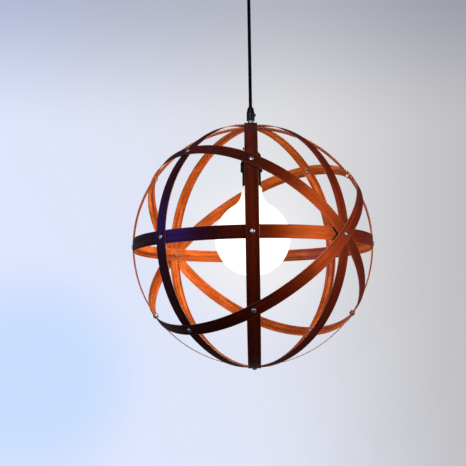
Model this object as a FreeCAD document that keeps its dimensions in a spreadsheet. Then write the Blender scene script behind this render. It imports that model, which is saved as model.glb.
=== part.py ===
"""Orb pendant lamp: seven bent wood-veneer hoops screwed into an open globe round a lampholder and a bulb.

Millimetres, +Z up. The origin is on the ceiling, in the middle of the bracket's two screw slots, and the
lamp hangs below it. -Y is the front. The lamp swings where its cord leaves the two cord grips.

From the ceiling down: a bracket and its cup with a terminal block inside, a cord grip under the cup, the
cord, a second cord grip screwed on a hollow threaded tube, the top of the orb clamped between two nuts on
that tube, and the lampholder on the tube's lower end with the bulb in it.
"""

import FreeCAD
import Part
import Sketcher
import math
import os
import re
from FreeCAD import Placement, Rotation, Vector

doc = FreeCAD.newDocument("orb_lamp")

# Driving dimensions: alias, value, meaning.
DRIVING = [
    ("orb_radius", "200", "outside of the two tilted hoops"),
    ("strip_width", "21", "width of a veneer strip"),
    ("strip_thickness", "1", "thickness of a veneer strip"),
    ("strip_clearance", "0.05", "least air between two crossing strips"),
    ("raise_end", "38", "degrees from a four-way crossing at which a hoop is back on its plain layer"),
    ("seat_clearance", "0.05", "air under a head, nut or shoulder"),
    ("small_round", "0.6", "rounded edges of the moulded plastic pieces"),
    ("tube_end_gap", "1", "air past the inner end of a tube"),
    ("thread_clearance", "0.05", "radial air between a threaded bar and its nut"),
    ("hinge_clearance", "0.1", "air round the cord's rounded ends"),
    ("screw_radius", "2", "M4 shank"),
    ("screw_hole_radius", "2.2", "hole through the strips"),
    ("screw_head_radius", "4", "pan head"),
    ("screw_head_rim", "1.1", "straight rim of the pan head"),
    ("screw_head_height", "2.6", "pan head over all"),
    ("screw_tail", "1.2", "shank past the nut"),
    ("nut_flats", "7", "M4 nut across flats"),
    ("nut_height", "3.2", "M4 nut"),
    ("tube_radius", "4.95", "M10 x 1 hollow tube, outside"),
    ("tube_bore_radius", "3.9", "hollow tube, inside"),
    ("tube_hole_radius", "5.2", "hole for a tube in a strip or in the cup"),
    ("tube_nut_flats", "14", "M10 nut across flats"),
    ("tube_nut_height", "3.5", "M10 nut"),
    ("tube_show", "4.5", "tube seen between the top nut and the cord grip"),
    ("cord_radius", "2.8", "two-core round cord"),
    ("cord_length", "200", "cord between the mouths of the two grips"),
    ("wire_radius", "0.9", "one insulated core"),
    ("grip_length", "23", "cord grip from its threaded end to its mouth"),
    ("grip_radius", "6.8", "cord grip's round body"),
    ("grip_body_height", "12.5", "straight part of the cord grip"),
    ("grip_mouth_radius", "4.4", "outside of the grip's mouth"),
    ("grip_mouth_height", "2", "rounded end of the grip"),
    ("grip_mouth_round", "2.5", "radius of the grip's rounded end"),
    ("grip_thread_depth", "6.5", "tube's depth in the grip"),
    ("grip_bore_radius", "3.1", "grip's bore for the cord"),
    ("grip_screw_height", "9.5", "clamp screw above the threaded end"),
    ("grip_screw_radius", "1.5", "clamp screw's shank"),
    ("grip_screw_head_radius", "2.3", "clamp screw's head"),
    ("grip_screw_head_height", "1.8", "clamp screw's head"),
    ("canopy_radius", "50", "cup over all"),
    ("canopy_depth", "28", "cup below the ceiling"),
    ("canopy_wall", "1.5", "cup's wall"),
    ("canopy_edge_radius", "9", "round lower edge of the cup"),
    ("bracket_width", "18", "ceiling bracket's strap"),
    ("bracket_thickness", "1.5", "ceiling bracket's strap"),
    ("bracket_ear_height", "14", "bent ends of the bracket"),
    ("bracket_bend", "1", "inner radius of the bracket's bends"),
    ("bracket_wall_gap", "1.3", "from the ears to the cup's wall on the middle line"),
    ("slot_spacing", "64", "between the middles of the two ceiling slots"),
    ("slot_length", "12", "ceiling slot end to end"),
    ("slot_radius", "2.5", "half a ceiling slot's width"),
    ("cable_hole_radius", "6", "hole in the bracket for the house wiring"),
    ("side_screw_radius", "2", "M4 screws through the cup's wall"),
    ("side_screw_hole_radius", "2.2", "holes in the cup's wall"),
    ("side_screw_depth", "8", "side screws below the ceiling"),
    ("side_screw_head_radius", "3.5", "round head of a side screw"),
    ("side_screw_head_height", "2.4", "round head of a side screw"),
    ("side_screw_tail", "3", "side screw past the bracket's ear"),
    ("terminal_length", "17", "terminal block along its wires"),
    ("terminal_pitch", "8", "between the two poles of the block"),
    ("terminal_height", "12", "terminal block"),
    ("terminal_offset", "8", "from the lamp's axis to the block"),
    ("terminal_bore_radius", "1.6", "wire holes of the block"),
    ("ferrule_wall", "0.75", "brass ferrule in a pole of the block"),
    ("ferrule_inset", "1", "ferrule's ends inside the block"),
    ("terminal_screw_radius", "1.3", "clamping screws of the block"),
    ("terminal_screw_clearance", "0.1", "round the clamping screws"),
    ("terminal_screw_inset", "0.6", "clamping screw's slot end inside its tower"),
    ("terminal_tower_radius", "3.2", "round tower that a clamping screw sits in"),
    ("terminal_bar_height", "8.4", "terminal block without its screw towers"),
    ("holder_drop", "29", "from the hoops' inside at the top to the holder's neck"),
    ("neck_radius", "8.5", "neck of the holder's cap"),
    ("neck_height", "11", "neck of the holder's cap"),
    ("neck_screw_height", "5.4", "locking screw below the neck's end"),
    ("neck_screw_show", "3.6", "locking screw's shank seen outside the neck"),
    ("dome_height", "12", "domed part of the cap"),
    ("dome_step", "5.5", "from the skirt in to the dome's top"),
    ("cap_radius", "17", "cap's round skirt"),
    ("cap_skirt_height", "6.5", "cap's round skirt"),
    ("cap_wall", "1.8", "cap's wall"),
    ("ring_radius", "18.3", "ribbed ring on the sleeve"),
    ("ring_height", "16", "ribbed ring on the sleeve"),
    ("ring_ribs", "24", "count of grooves round the ring"),
    ("ring_groove_radius", "0.9", "one groove of the ring"),
    ("sleeve_radius", "15.6", "sleeve below the ring"),
    ("sleeve_drop", "24", "sleeve below the ring"),
    ("sleeve_bore_radius", "14.2", "inside of the sleeve"),
    ("sleeve_thread_radius", "16.3", "sleeve under the ring"),
    ("sleeve_spigot_height", "4", "sleeve's end inside the cap"),
    ("insert_flange_height", "2.5", "ceramic insert's flange"),
    ("insert_gap", "4", "from the bulb's tip up to the ceramic insert"),
    ("shell_wall", "0.4", "brass screw shell"),
    ("shell_inset", "1.5", "shell's mouth inside the sleeve's end"),
    ("tongue_foot", "6", "contact tongue's foot, from the axis"),
    ("tongue_bend", "3.5", "where the tongue bends down, from the axis"),
    ("tongue_reach", "3", "the tongue's end past the axis"),
    ("clamp_width", "6", "wire clamp block in the holder, across the lamp"),
    ("clamp_depth", "8", "wire clamp block, front to back"),
    ("clamp_height", "6", "wire clamp block"),
    ("clamp_out", "5.6", "from the axis to the middle of a clamp block"),
    ("clamp_hole_depth", "3", "wire hole in a clamp block"),
    ("bulb_radius", "62.5", "bulb's globe"),
    ("bulb_length", "175", "bulb over all"),
    ("bulb_neck_radius", "17", "glass neck"),
    ("bulb_neck_straight", "3.5", "straight part of the glass neck"),
    ("bulb_shoulder_height", "3", "rounded shoulder of the glass under the screw cap"),
    ("bulb_shoulder_round", "5.5", "radius of the glass shoulder"),
    ("bulb_skirt_gap", "0.3", "air between the glass shoulder and the screw cap's rim"),
    ("bulb_glass_wall", "1", "glass"),
    ("bulb_cap_radius", "13.1", "screw cap"),
    ("bulb_cap_clearance", "0.25", "air between the screw cap and the brass shell"),
    ("bulb_cap_height", "21", "screw cap"),
    ("bulb_cap_round", "2.5", "rounded upper edge of the screw cap"),
    ("bulb_cap_step", "2", "from the screw cap's outside in to its flat top"),
    ("bulb_cap_hole", "6.8", "hole in the screw cap's top, radius"),
    ("bulb_tip_height", "5", "insulator and contact above the screw cap"),
    ("bulb_neck_engagement", "6", "glass inside the screw cap"),
    ("bulb_contact_radius", "4.8", "centre contact"),
    ("bulb_contact_height", "1.4", "centre contact"),
    ("bulb_contact_round", "0.8", "rounded edge of the centre contact"),
    ("insulator_rim", "0.6", "insulator seen round the centre contact"),
    ("stem_radius", "2.5", "glass stem inside the bulb"),
    ("stem_drop", "5", "stem's foot below the middle of the globe"),
    ("stem_flare_height", "16", "flared top of the stem"),
    ("stem_flare_round", "22", "radius of the stem's flare"),
    ("stem_seal_height", "3", "straight end of the stem, sealed in the neck"),
    ("filament_radius", "0.8", "one light rod in the bulb"),
    ("filament_length", "44", "one light rod"),
    ("filament_lean", "14", "degrees that a light rod leans out"),
    ("filament_gap", "0.1", "between a light rod's foot and the stem"),
    ("filament_count", "4", "light rods in the bulb"),
    ("wire_clearance", "0.3", "from the middle plane to a core, and round a core in its hole"),
    ("wire_stub", "1.9", "straight end of a core before its first bend"),
    ("wire_rise", "1.5", "bend of a core above its clamp block"),
    ("wire_seat", "2", "core inside its clamp block"),
    ("canopy_wire_stub", "3", "core standing straight up out of the tube in the cup"),
    ("canopy_wire_drop", "4.5", "last bend of a core below the terminal block's bores"),
    ("canopy_wire_seat", "5", "core inside the terminal block"),
]

# Places and sizes worked out from them.
WORKED_OUT = [
    ("layer_gap", "strip_width^2 / (8 * orb_radius) + strip_clearance"),
    ("layer_pitch", "strip_thickness + layer_gap"),
    ("pole_outer", "orb_radius + 2 * layer_pitch"),
    ("pole_inner", "orb_radius - layer_pitch - strip_thickness"),
    ("upper_mouth", "-(canopy_depth + seat_clearance + grip_length)"),
    ("lower_mouth", "upper_mouth - cord_length"),
    ("grip_base", "lower_mouth - grip_length"),
    ("pole_nut_top", "grip_base - tube_show"),
    ("orb_centre", "pole_nut_top - tube_nut_height - seat_clearance - pole_outer"),
    ("pole_nut_sag", "tube_nut_flats^2 / (6 * pole_inner) + seat_clearance"),
    ("holder_top", "orb_centre + pole_inner - holder_drop"),
    ("cap_bottom", "holder_top - neck_height - dome_height - cap_skirt_height"),
    ("ring_bottom", "cap_bottom - seat_clearance - ring_height"),
    ("sleeve_bottom", "ring_bottom - sleeve_drop"),
    ("spigot_top", "cap_bottom + sleeve_spigot_height"),
    ("insert_top", "spigot_top + seat_clearance + insert_flange_height"),
    ("cap_bore", "cap_radius - cap_wall"),
    ("shell_bore", "bulb_cap_radius + bulb_cap_clearance"),
    ("shell_radius", "shell_bore + shell_wall"),
    ("bulb_skirt", "sleeve_bottom - 1"),
    ("bulb_tip", "bulb_skirt + bulb_cap_height + bulb_tip_height"),
    ("bulb_centre", "bulb_tip - bulb_length + bulb_radius"),
    ("insert_bottom", "bulb_tip + insert_gap"),
    ("glass_shoulder", "bulb_skirt - bulb_skirt_gap"),
    ("neck_foot", "glass_shoulder - bulb_shoulder_height"),
    ("blend_height", "neck_foot - bulb_neck_straight - bulb_centre"),
    (
        "bulb_neck_blend",
        "(blend_height^2 - bulb_radius^2 + bulb_neck_radius^2) / (2 * (bulb_radius - bulb_neck_radius))",
    ),
    ("globe_share", "bulb_radius / (bulb_radius + bulb_neck_blend)"),
    ("join_radius", "(bulb_neck_radius + bulb_neck_blend) * globe_share"),
    ("join_height", "blend_height * globe_share"),
    ("glass_share", "(bulb_radius - bulb_glass_wall) / bulb_radius"),
    ("glass_end_radius", "bulb_cap_radius - shell_wall - bulb_skirt_gap"),
    ("canopy_floor", "-canopy_depth + canopy_wall + seat_clearance"),
    ("canopy_tube_top", "canopy_floor + tube_nut_height + tube_end_gap * 2"),
    ("bracket_reach", "canopy_radius - canopy_wall - bracket_wall_gap"),
    ("terminal_level", "-(bracket_thickness + seat_clearance + terminal_height / 2)"),
]

sheet = doc.addObject("Spreadsheet::Sheet", "Sizes")
for row, (alias, text, meaning) in enumerate(DRIVING, 1):
    sheet.set(f"A{row}", text)
    sheet.setAlias(f"A{row}", alias)
    sheet.set(f"B{row}", meaning)
doc.recompute()
for row, (alias, formula) in enumerate(WORKED_OUT, len(DRIVING) + 1):
    sheet.set(f"A{row}", "=" + formula)
    sheet.setAlias(f"A{row}", alias)
doc.recompute()

ALIASES = {alias for alias, *_ in DRIVING + WORKED_OUT}
parts = []


def bound(formula):
    """A formula in the sheet's names, as an expression that any object can hold."""
    return re.sub(r"[a-z_]+", lambda word: ("Sizes." if word[0] in ALIASES else "") + word[0], str(formula))


def number(formula):
    return float(sheet.evalExpression(bound(formula)))


def named(piece, label):
    piece.Label = label
    parts.append(piece)
    return piece


def placed(piece, up="0", across="0", along="0", turn=None):
    """Gives a piece its Placement, with its place bound to the sheet."""
    if turn:
        piece.Placement = Placement(Vector(), Rotation(*turn))
    for name, formula in (("x", across), ("y", along), ("z", up)):
        piece.setExpression(f"Placement.Base.{name}", bound(formula))
    return piece


# Sketched pieces


def sketch_in(body, role, name="Outline"):
    sketch = body.newObject("Sketcher::SketchObject", name)
    plane = next(feature for feature in body.Origin.OriginFeatures if feature.Role == role)
    sketch.AttachmentSupport = [(plane, "")]
    sketch.MapMode = "FlatFace"
    return sketch


def pin(sketch, edge, end, corner):
    """Binds one end of an edge to the place that a corner's two formulas give."""
    for kind, formula in zip(("DistanceX", "DistanceY"), corner[:2]):
        made = sketch.addConstraint(Sketcher.Constraint(kind, -1, 1, edge, end, number(formula)))
        sketch.setExpression(f"Constraints[{made}]", bound(formula))


def set_radius(sketch, edge, formula):
    made = sketch.addConstraint(Sketcher.Constraint("Radius", edge, number(formula)))
    sketch.setExpression(f"Constraints[{made}]", bound(formula))


def outline(sketch, corners):
    """A closed outline of corners. A corner is (across, up), or, where an arc arrives at it, (across, up,
    radius, side), with side 1 for an arc that turns left on its way and -1 for one that turns right."""
    ends = []
    for i, corner in enumerate(corners):
        start = Vector(*[number(f) for f in corners[i - 1][:2]], 0)
        end = Vector(*[number(f) for f in corner[:2]], 0)
        if len(corner) == 2:
            edge = sketch.addGeometry(Part.LineSegment(start, end))
            ends.append((edge, 1, 2))
        else:
            radius, side = number(corner[2]), corner[3]
            chord = end - start
            reach = math.sqrt(max(radius**2 - chord.Length**2 / 4, 0))
            centre = (start + end) * 0.5 + Vector(-chord.y, chord.x, 0).normalize() * reach * side
            first, last = (start, end) if side > 0 else (end, start)
            angles = [math.atan2(p.y - centre.y, p.x - centre.x) for p in (first, last)]
            circle = Part.Circle(centre, Vector(0, 0, 1), radius)
            edge = sketch.addGeometry(Part.ArcOfCircle(circle, *angles))
            ends.append((edge, 1, 2) if side > 0 else (edge, 2, 1))
            set_radius(sketch, edge, corner[2])
        pin(sketch, edge, ends[-1][2], corner)
    for i, (edge, start, _) in enumerate(ends):
        before, _, end = ends[i - 1]
        sketch.addConstraint(Sketcher.Constraint("Coincident", edge, start, before, end))


def lathe_work(label, corners):
    """A body turned about its Z axis: corners are (radius, height)."""
    body = doc.addObject("PartDesign::Body", label)
    sketch = sketch_in(body, "XZ_Plane")
    outline(sketch, corners)
    turn = body.newObject("PartDesign::Revolution", "Turn")
    turn.Profile = sketch
    turn.ReferenceAxis = (sketch, ["V_Axis"])
    turn.Angle = 360
    sketch.Visibility = False
    return body


def turned(label, corners):
    return named(lathe_work(label, corners), label)


def cut_across(body, role, length, corners=None, circle=None, midplane=True, reverse=False):
    """Cuts an outline, or a circle (across, up, radius), out of a body, square to one of its own planes."""
    sketch = sketch_in(body, role, "Cut_outline")
    if corners:
        outline(sketch, corners)
    else:
        across, up, radius = circle
        centre = Vector(number(across), number(up), 0)
        edge = sketch.addGeometry(Part.Circle(centre, Vector(0, 0, 1), number(radius)))
        pin(sketch, edge, 3, (across, up))
        set_radius(sketch, edge, radius)
    doc.recompute()
    before = body.Shape.Volume
    pocket = body.newObject("PartDesign::Pocket", "Cut")
    pocket.Profile = sketch
    pocket.Midplane = midplane
    pocket.Reversed = reverse
    pocket.setExpression("Length", bound(length))
    sketch.Visibility = False
    doc.recompute()
    if body.Shape.Volume >= before:
        raise ValueError(f"{body.Label}: a cut removes nothing")
    return pocket


def hex_nut(label, flats, height, bore, up="0"):
    """A six-sided nut that stands on its own Z axis, with its corners turned off at both faces."""
    bar = doc.addObject("Part::Prism", label + "_bar")
    bar.Polygon = 6
    bar.setExpression("Circumradius", bound(f"{flats} / sqrt(3)"))
    bar.setExpression("Height", bound(height))
    face, corner, bevel = f"{flats} * 0.47", f"{flats} * 0.59", f"{flats} * 0.06"
    turning = lathe_work(
        label + "_turning",
        [
            ("0", "0"),
            (face, "0"),
            (corner, bevel),
            (corner, f"{height} - {bevel}"),
            (face, height),
            ("0", height),
        ],
    )
    hole = doc.addObject("Part::Cylinder", label + "_hole")
    hole.setExpression("Radius", bound(bore))
    hole.setExpression("Height", bound(height))
    blank = doc.addObject("Part::Common", label + "_blank")
    blank.Base, blank.Tool = bar, turning
    nut = doc.addObject("Part::Cut", label)
    nut.Base, nut.Tool = blank, hole
    return named(placed(nut, up), label)


# The orb


def direction(azimuth, height):
    """The way out from the orb's centre: azimuth 0 is the front, and 90 the right."""
    a, b = math.radians(azimuth), math.radians(height)
    return Vector(math.cos(b) * math.sin(a), -math.cos(b) * math.cos(a), math.sin(b))


POLE = Vector(0, 0, 1)
FOUR_WAY = direction(45, 0)

# Each hoop: its name, two ways out that it passes, the first being where it is raised, its layer counted from
# inside, and its layer there, where four hoops cross.
HOOPS = [
    ("equator_hoop", FOUR_WAY, direction(-45, 0), 0, 0),
    ("side_hoop", POLE, direction(90, 0), 1, 1),
    ("right_diagonal_hoop", POLE, direction(45, 0), 1, 2),
    ("left_diagonal_hoop", POLE, direction(-45, 0), 1, 3),
    ("front_hoop", POLE, direction(0, 0), 1, 4),
    ("upper_tilted_hoop", FOUR_WAY, direction(-45, 45), 2, 2),
    ("lower_tilted_hoop", FOUR_WAY, direction(-45, -45), 2, 3),
]
CURVE_STEPS = 72

orb_radius = number("orb_radius")
strip_width = number("strip_width")
strip_thickness = number("strip_thickness")
layer_pitch = number("layer_pitch")
seat_clearance = number("seat_clearance")
screw_radius = number("screw_radius")
nut_height = number("nut_height")
orb_centre = Vector(0, 0, number("orb_centre"))


def layer_radius(layer):
    """Outside of a strip on that layer. The tilted hoops' own layer is number 2."""
    return orb_radius + (layer - 2) * layer_pitch


def raised_share(angle):
    """0 on a hoop's plain stretch and 1 where four hoops cross, at so many degrees from that crossing."""
    half_width = math.asin(strip_width / 2 / math.sin(math.radians(22.5)) / orb_radius)
    start, end = math.degrees(half_width) + 1, number("raise_end")
    away = min(max((angle - start) / (end - start), 0), 1)
    return (1 + math.cos(math.pi * away)) / 2


def hoop_layer(hoop, way):
    """The layer that a hoop is on where it passes that way out."""
    _, raised_at, _, plain, raised = hoop
    angle = math.degrees(raised_at.getAngle(way))
    return plain + (raised - plain) * raised_share(min(angle, 180 - angle))


def closed_curve(hoop, inset):
    """A hoop's outside, moved inwards by inset, as one closed wire in its plane."""
    _, first, second, plain, raised = hoop
    if plain == raised:
        return Part.Wire(Part.Circle(Vector(), first.cross(second), layer_radius(plain) - inset).toShape())
    points = []
    for step in range(CURVE_STEPS):
        angle = 2 * math.pi * step / CURVE_STEPS
        way = first * math.cos(angle) + second * math.sin(angle)
        points.append(way * (layer_radius(hoop_layer(hoop, way)) - inset))
    curve = Part.BSplineCurve()
    curve.interpolate(Points=points, PeriodicFlag=True)
    return Part.Wire(curve.toShape())


def crossings():
    """Every way out at which hoops cross, as (way, the hoops that cross there)."""
    found = []
    for i, one in enumerate(HOOPS):
        for other in HOOPS[i + 1 :]:
            way = one[1].cross(one[2]).cross(other[1].cross(other[2])).normalize()
            for d in (way, way * -1):
                same = [hoops for known, hoops in found if known.getAngle(d) < 0.01]
                if same:
                    same[0].update({one[0], other[0]})
                else:
                    found.append((d, {one[0], other[0]}))
    return found


def at_crossing(way, radius):
    """Places a shape made on +Z so that its Z axis runs out along way, with its origin at radius."""
    return Placement(orb_centre + way * radius, Rotation(Vector(0, 0, 1), way))


def stack(way, names):
    """The inner and outer radius of the hoops at a crossing."""
    layers = [round(hoop_layer(hoop, way)) for hoop in HOOPS if hoop[0] in names]
    return layer_radius(min(layers)) - strip_thickness, layer_radius(max(layers))


def hoop_piece(hoop):
    """A strip bent into a closed hoop, with a hole at each crossing."""
    name, first, second, _, _ = hoop
    axis = first.cross(second).normalize()
    curves = [closed_curve(hoop, 0), closed_curve(hoop, strip_thickness)]
    face = Part.makeFace(curves, "Part::FaceMakerBullseye")
    band = face.extrude(axis * strip_width)
    band.translate(orb_centre - axis * (strip_width / 2))
    drills = []
    for way, names in CROSSINGS:
        if name in names:
            at_top = way.getAngle(POLE) < 0.01
            radius = number("tube_hole_radius" if at_top else "screw_hole_radius")
            depth = orb_radius / 4
            drills.append(Part.makeCylinder(radius, depth, orb_centre + way * (orb_radius - depth / 2), way))
    return band.cut(drills)


def pan_screw(grip):
    """A pan-head screw on +Z: its head sits on the plane at 0, and its shank reaches past grip and nut."""
    head, rim = number("screw_head_radius"), number("screw_head_rim")
    rise = number("screw_head_height") - rim
    crown = (head**2 + rise**2) / (2 * rise)
    dome = Part.makeSphere(crown, Vector(0, 0, rim + rise - crown))
    shape = Part.makeCylinder(head, rim + rise).common(dome)
    length = grip + nut_height + number("screw_tail")
    return shape.fuse(Part.makeCylinder(screw_radius, length, Vector(0, 0, -length))).removeSplitter()


def plain_nut():
    """The M4 nut on +Z, with its outer face on the plane at 0."""
    corner = number("nut_flats") / math.sqrt(3)
    corners = [Vector(corner, 0, 0)]
    for turn in range(6):
        corners.append(Rotation(Vector(0, 0, 1), 60 * (turn + 1)).multVec(corners[0]))
    bar = Part.Face(Part.makePolygon(corners)).extrude(Vector(0, 0, -nut_height))
    bore = screw_radius + number("thread_clearance")
    return bar.cut(Part.makeCylinder(bore, nut_height, Vector(0, 0, -nut_height)))


def group(label, shapes):
    """Like fasteners in one node, as separate solids."""
    node = doc.addObject("Part::Feature", label)
    node.Shape = Part.makeCompound(shapes)
    return named(node, label)


def fastened(label, chosen):
    """The screws and nuts of some crossings, as two nodes."""
    screws, nuts = [], []
    hollow = number("nut_flats") ** 2 / (6 * orb_radius)
    for way, names in chosen:
        inner, outer = stack(way, names)
        screws.append(pan_screw(outer - inner + hollow + 2 * seat_clearance))
        screws[-1].Placement = at_crossing(way, outer + seat_clearance)
        nuts.append(plain_nut())
        nuts[-1].Placement = at_crossing(way, inner - hollow - seat_clearance)
    group(label + "_screws", screws)
    group(label + "_nuts", nuts)


CROSSINGS = crossings()
for hoop in HOOPS:
    piece = doc.addObject("Part::Feature", hoop[0])
    piece.Shape = hoop_piece(hoop)
    named(piece, hoop[0])

top_and_base = [c for c in CROSSINGS if abs(c[0].z) > 0.99]
four_way = [c for c in CROSSINGS if len(c[1]) == 4 and c not in top_and_base]
two_way = [c for c in CROSSINGS if len(c[1]) == 2]
fastened("equator", [c for c in two_way if "equator_hoop" in c[1]])
fastened("tilted_hoop", [c for c in two_way if "equator_hoop" not in c[1]])
fastened("four_way", four_way)
fastened("base", [c for c in top_and_base if c[0].z < 0])

# The tube through the orb's top


def threaded_tube(label, length, up):
    bore, outside = "tube_bore_radius", "tube_radius"
    return placed(turned(label, [(bore, "0"), (outside, "0"), (outside, length), (bore, length)]), up)


tube_top = "grip_base + grip_thread_depth - seat_clearance"
tube_bottom = "(holder_top - neck_height + tube_end_gap)"
nut_bore = "tube_radius + thread_clearance"
threaded_tube("threaded_tube", f"{tube_top} - {tube_bottom}", tube_bottom)
hex_nut("top_nut", "tube_nut_flats", "tube_nut_height", nut_bore, "pole_nut_top - tube_nut_height")
hex_nut(
    "inner_nut",
    "tube_nut_flats",
    "tube_nut_height",
    nut_bore,
    "orb_centre + pole_inner - pole_nut_sag - tube_nut_height",
)

# Cord and cord grips


def cord_grip(label, up, turn=None):
    """A tapered grip on its own Z axis, threaded end at 0 and mouth at the top, with a clamp screw on +X."""
    thread = "tube_radius + thread_clearance"
    body = turned(
        label,
        [
            (thread, "0"),
            ("grip_radius - small_round", "0"),
            ("grip_radius", "small_round", "small_round", 1),
            ("grip_radius", "grip_body_height"),
            ("grip_mouth_radius + small_round", "grip_length - grip_mouth_height"),
            ("grip_mouth_radius - small_round / 2", "grip_length", "grip_mouth_round", 1),
            ("grip_bore_radius + small_round", "grip_length"),
            ("grip_bore_radius", "grip_length - small_round"),
            ("grip_bore_radius", "grip_thread_depth"),
            (thread, "grip_thread_depth"),
        ],
    )
    cut_across(
        body,
        "YZ_Plane",
        circle=("0", "grip_screw_height", "grip_screw_radius + thread_clearance"),
        length="2 * grip_radius",
        midplane=False,
        reverse=True,
    )
    return placed(body, up, turn=turn)


def clamp_screw(label, up):
    """The grip's clamp screw, whose tip bears on the cord."""
    tip = "cord_radius + seat_clearance"
    seat = "grip_radius + seat_clearance"
    end = f"{seat} + grip_screw_head_height"
    body = turned(
        label,
        [
            ("0", tip),
            ("grip_screw_radius", tip),
            ("grip_screw_radius", seat),
            ("grip_screw_head_radius", seat),
            ("grip_screw_head_radius", f"{end} - small_round"),
            ("grip_screw_head_radius - small_round", end, "small_round", 1),
            ("0", end),
        ],
    )
    return placed(body, up, turn=(Vector(0, 1, 0), 90))


def cord_tail(label, far, up, turn=None):
    """The clamped end of the cord, from the hollow that its swinging length turns in down to its cut end."""
    hollow = "cord_radius + hinge_clearance"
    lip = f"sqrt(({hollow})^2 - cord_radius^2)"
    body = turned(
        label,
        [
            ("0", f"-({far})"),
            ("cord_radius", f"-({far})"),
            ("cord_radius", f"-{lip}"),
            ("0", f"-({hollow})", hollow, -1),
        ],
    )
    return placed(body, up, turn=turn)


UPSIDE_DOWN = (Vector(1, 0, 0), 180)

cord_grip("lamp_cord_grip", "grip_base")
clamp_screw("lamp_grip_screw", "grip_base + grip_screw_height")
cord_tail("lamp_cord_tail", f"lower_mouth - {tube_bottom} - tube_end_gap", "lower_mouth")
placed(
    turned(
        "pendant_cord",
        [
            ("0", "-cord_radius"),
            ("cord_radius", "0", "cord_radius", 1),
            ("cord_radius", "cord_length"),
            ("0", "cord_length + cord_radius", "cord_radius", 1),
        ],
    ),
    "lower_mouth",
)
cord_grip("canopy_cord_grip", "upper_mouth + grip_length", turn=UPSIDE_DOWN)
clamp_screw("canopy_grip_screw", "upper_mouth + grip_length - grip_screw_height")

# Lampholder, from its neck down

cap = turned(
    "holder_cap",
    [
        ("tube_radius + thread_clearance", "0"),
        ("tube_radius + thread_clearance", "-neck_height"),
        ("cap_bore - dome_step", "-(neck_height + cap_wall)"),
        ("cap_bore", "-(neck_height + dome_height)", "dome_height", -1),
        ("cap_bore", "cap_bottom - holder_top"),
        ("cap_radius", "cap_bottom - holder_top"),
        ("cap_radius", "-(neck_height + dome_height)"),
        ("cap_radius - dome_step", "-neck_height", "dome_height + cap_wall", 1),
        ("neck_radius", "-(neck_height - small_round)"),
        ("neck_radius", "-small_round"),
        ("neck_radius - small_round", "0", "small_round", 1),
    ],
)
cut_across(
    cap,
    "YZ_Plane",
    circle=("0", "-neck_screw_height", "grip_screw_radius + thread_clearance"),
    length="2 * neck_radius",
    midplane=False,
    reverse=False,
)
placed(cap, "holder_top")

neck_screw = turned(
    "neck_locking_screw",
    [
        ("0", "tube_radius + seat_clearance"),
        ("grip_screw_radius", "tube_radius + seat_clearance"),
        ("grip_screw_radius", "neck_radius + neck_screw_show"),
        ("grip_screw_head_radius", "neck_radius + neck_screw_show"),
        ("grip_screw_head_radius", "neck_radius + neck_screw_show + grip_screw_head_height"),
        ("0", "neck_radius + neck_screw_show + grip_screw_head_height"),
    ],
)
placed(neck_screw, "holder_top - neck_screw_height", turn=(Vector(0, 1, 0), -90))

sleeve = turned(
    "holder_sleeve",
    [
        ("sleeve_bore_radius", "sleeve_bottom"),
        ("sleeve_radius - small_round", "sleeve_bottom"),
        ("sleeve_radius", "sleeve_bottom + small_round", "small_round", 1),
        ("sleeve_radius", "ring_bottom"),
        ("sleeve_thread_radius", "ring_bottom"),
        ("sleeve_thread_radius", "cap_bottom - seat_clearance"),
        ("cap_bore - thread_clearance", "cap_bottom - seat_clearance"),
        ("cap_bore - thread_clearance", "spigot_top"),
        ("sleeve_bore_radius", "spigot_top"),
    ],
)
placed(sleeve)

ring_bore = "sleeve_thread_radius + thread_clearance"
ring = turned(
    "holder_ring",
    [
        (ring_bore, "0"),
        ("ring_radius - small_round", "0"),
        ("ring_radius", "small_round"),
        ("ring_radius", "ring_height - small_round"),
        ("ring_radius - small_round", "ring_height"),
        (ring_bore, "ring_height"),
    ],
)
groove = cut_across(
    ring,
    "XY_Plane",
    circle=("ring_radius + ring_groove_radius * 0.4", "0", "ring_groove_radius"),
    length="2 * ring_height",
)
ribs = ring.newObject("PartDesign::PolarPattern", "Grooves")
ribs.Originals = [groove]
ribs.Axis = (groove.Profile[0], ["N_Axis"])
ribs.Angle = 360
ribs.setExpression("Occurrences", bound("ring_ribs"))
ring.Tip = ribs
placed(ring, "ring_bottom")

insert = turned(
    "holder_insert",
    [
        ("0", "insert_bottom"),
        ("sleeve_bore_radius - seat_clearance", "insert_bottom"),
        ("sleeve_bore_radius - seat_clearance", "spigot_top + seat_clearance"),
        ("cap_bore - 2 * seat_clearance", "spigot_top + seat_clearance"),
        ("cap_bore - 2 * seat_clearance", "insert_top"),
        ("0", "insert_top"),
    ],
)
placed(insert)

shell_mouth = "sleeve_bottom + shell_inset"
shell = turned(
    "screw_shell",
    [
        ("shell_bore", shell_mouth),
        ("shell_radius", shell_mouth),
        ("shell_radius", "insert_bottom - seat_clearance"),
        ("bulb_contact_radius + 4", "insert_bottom - seat_clearance"),
        ("bulb_contact_radius + 4", "insert_bottom - seat_clearance - shell_wall"),
        ("shell_bore", "insert_bottom - seat_clearance - shell_wall"),
    ],
)
placed(shell)

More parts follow.
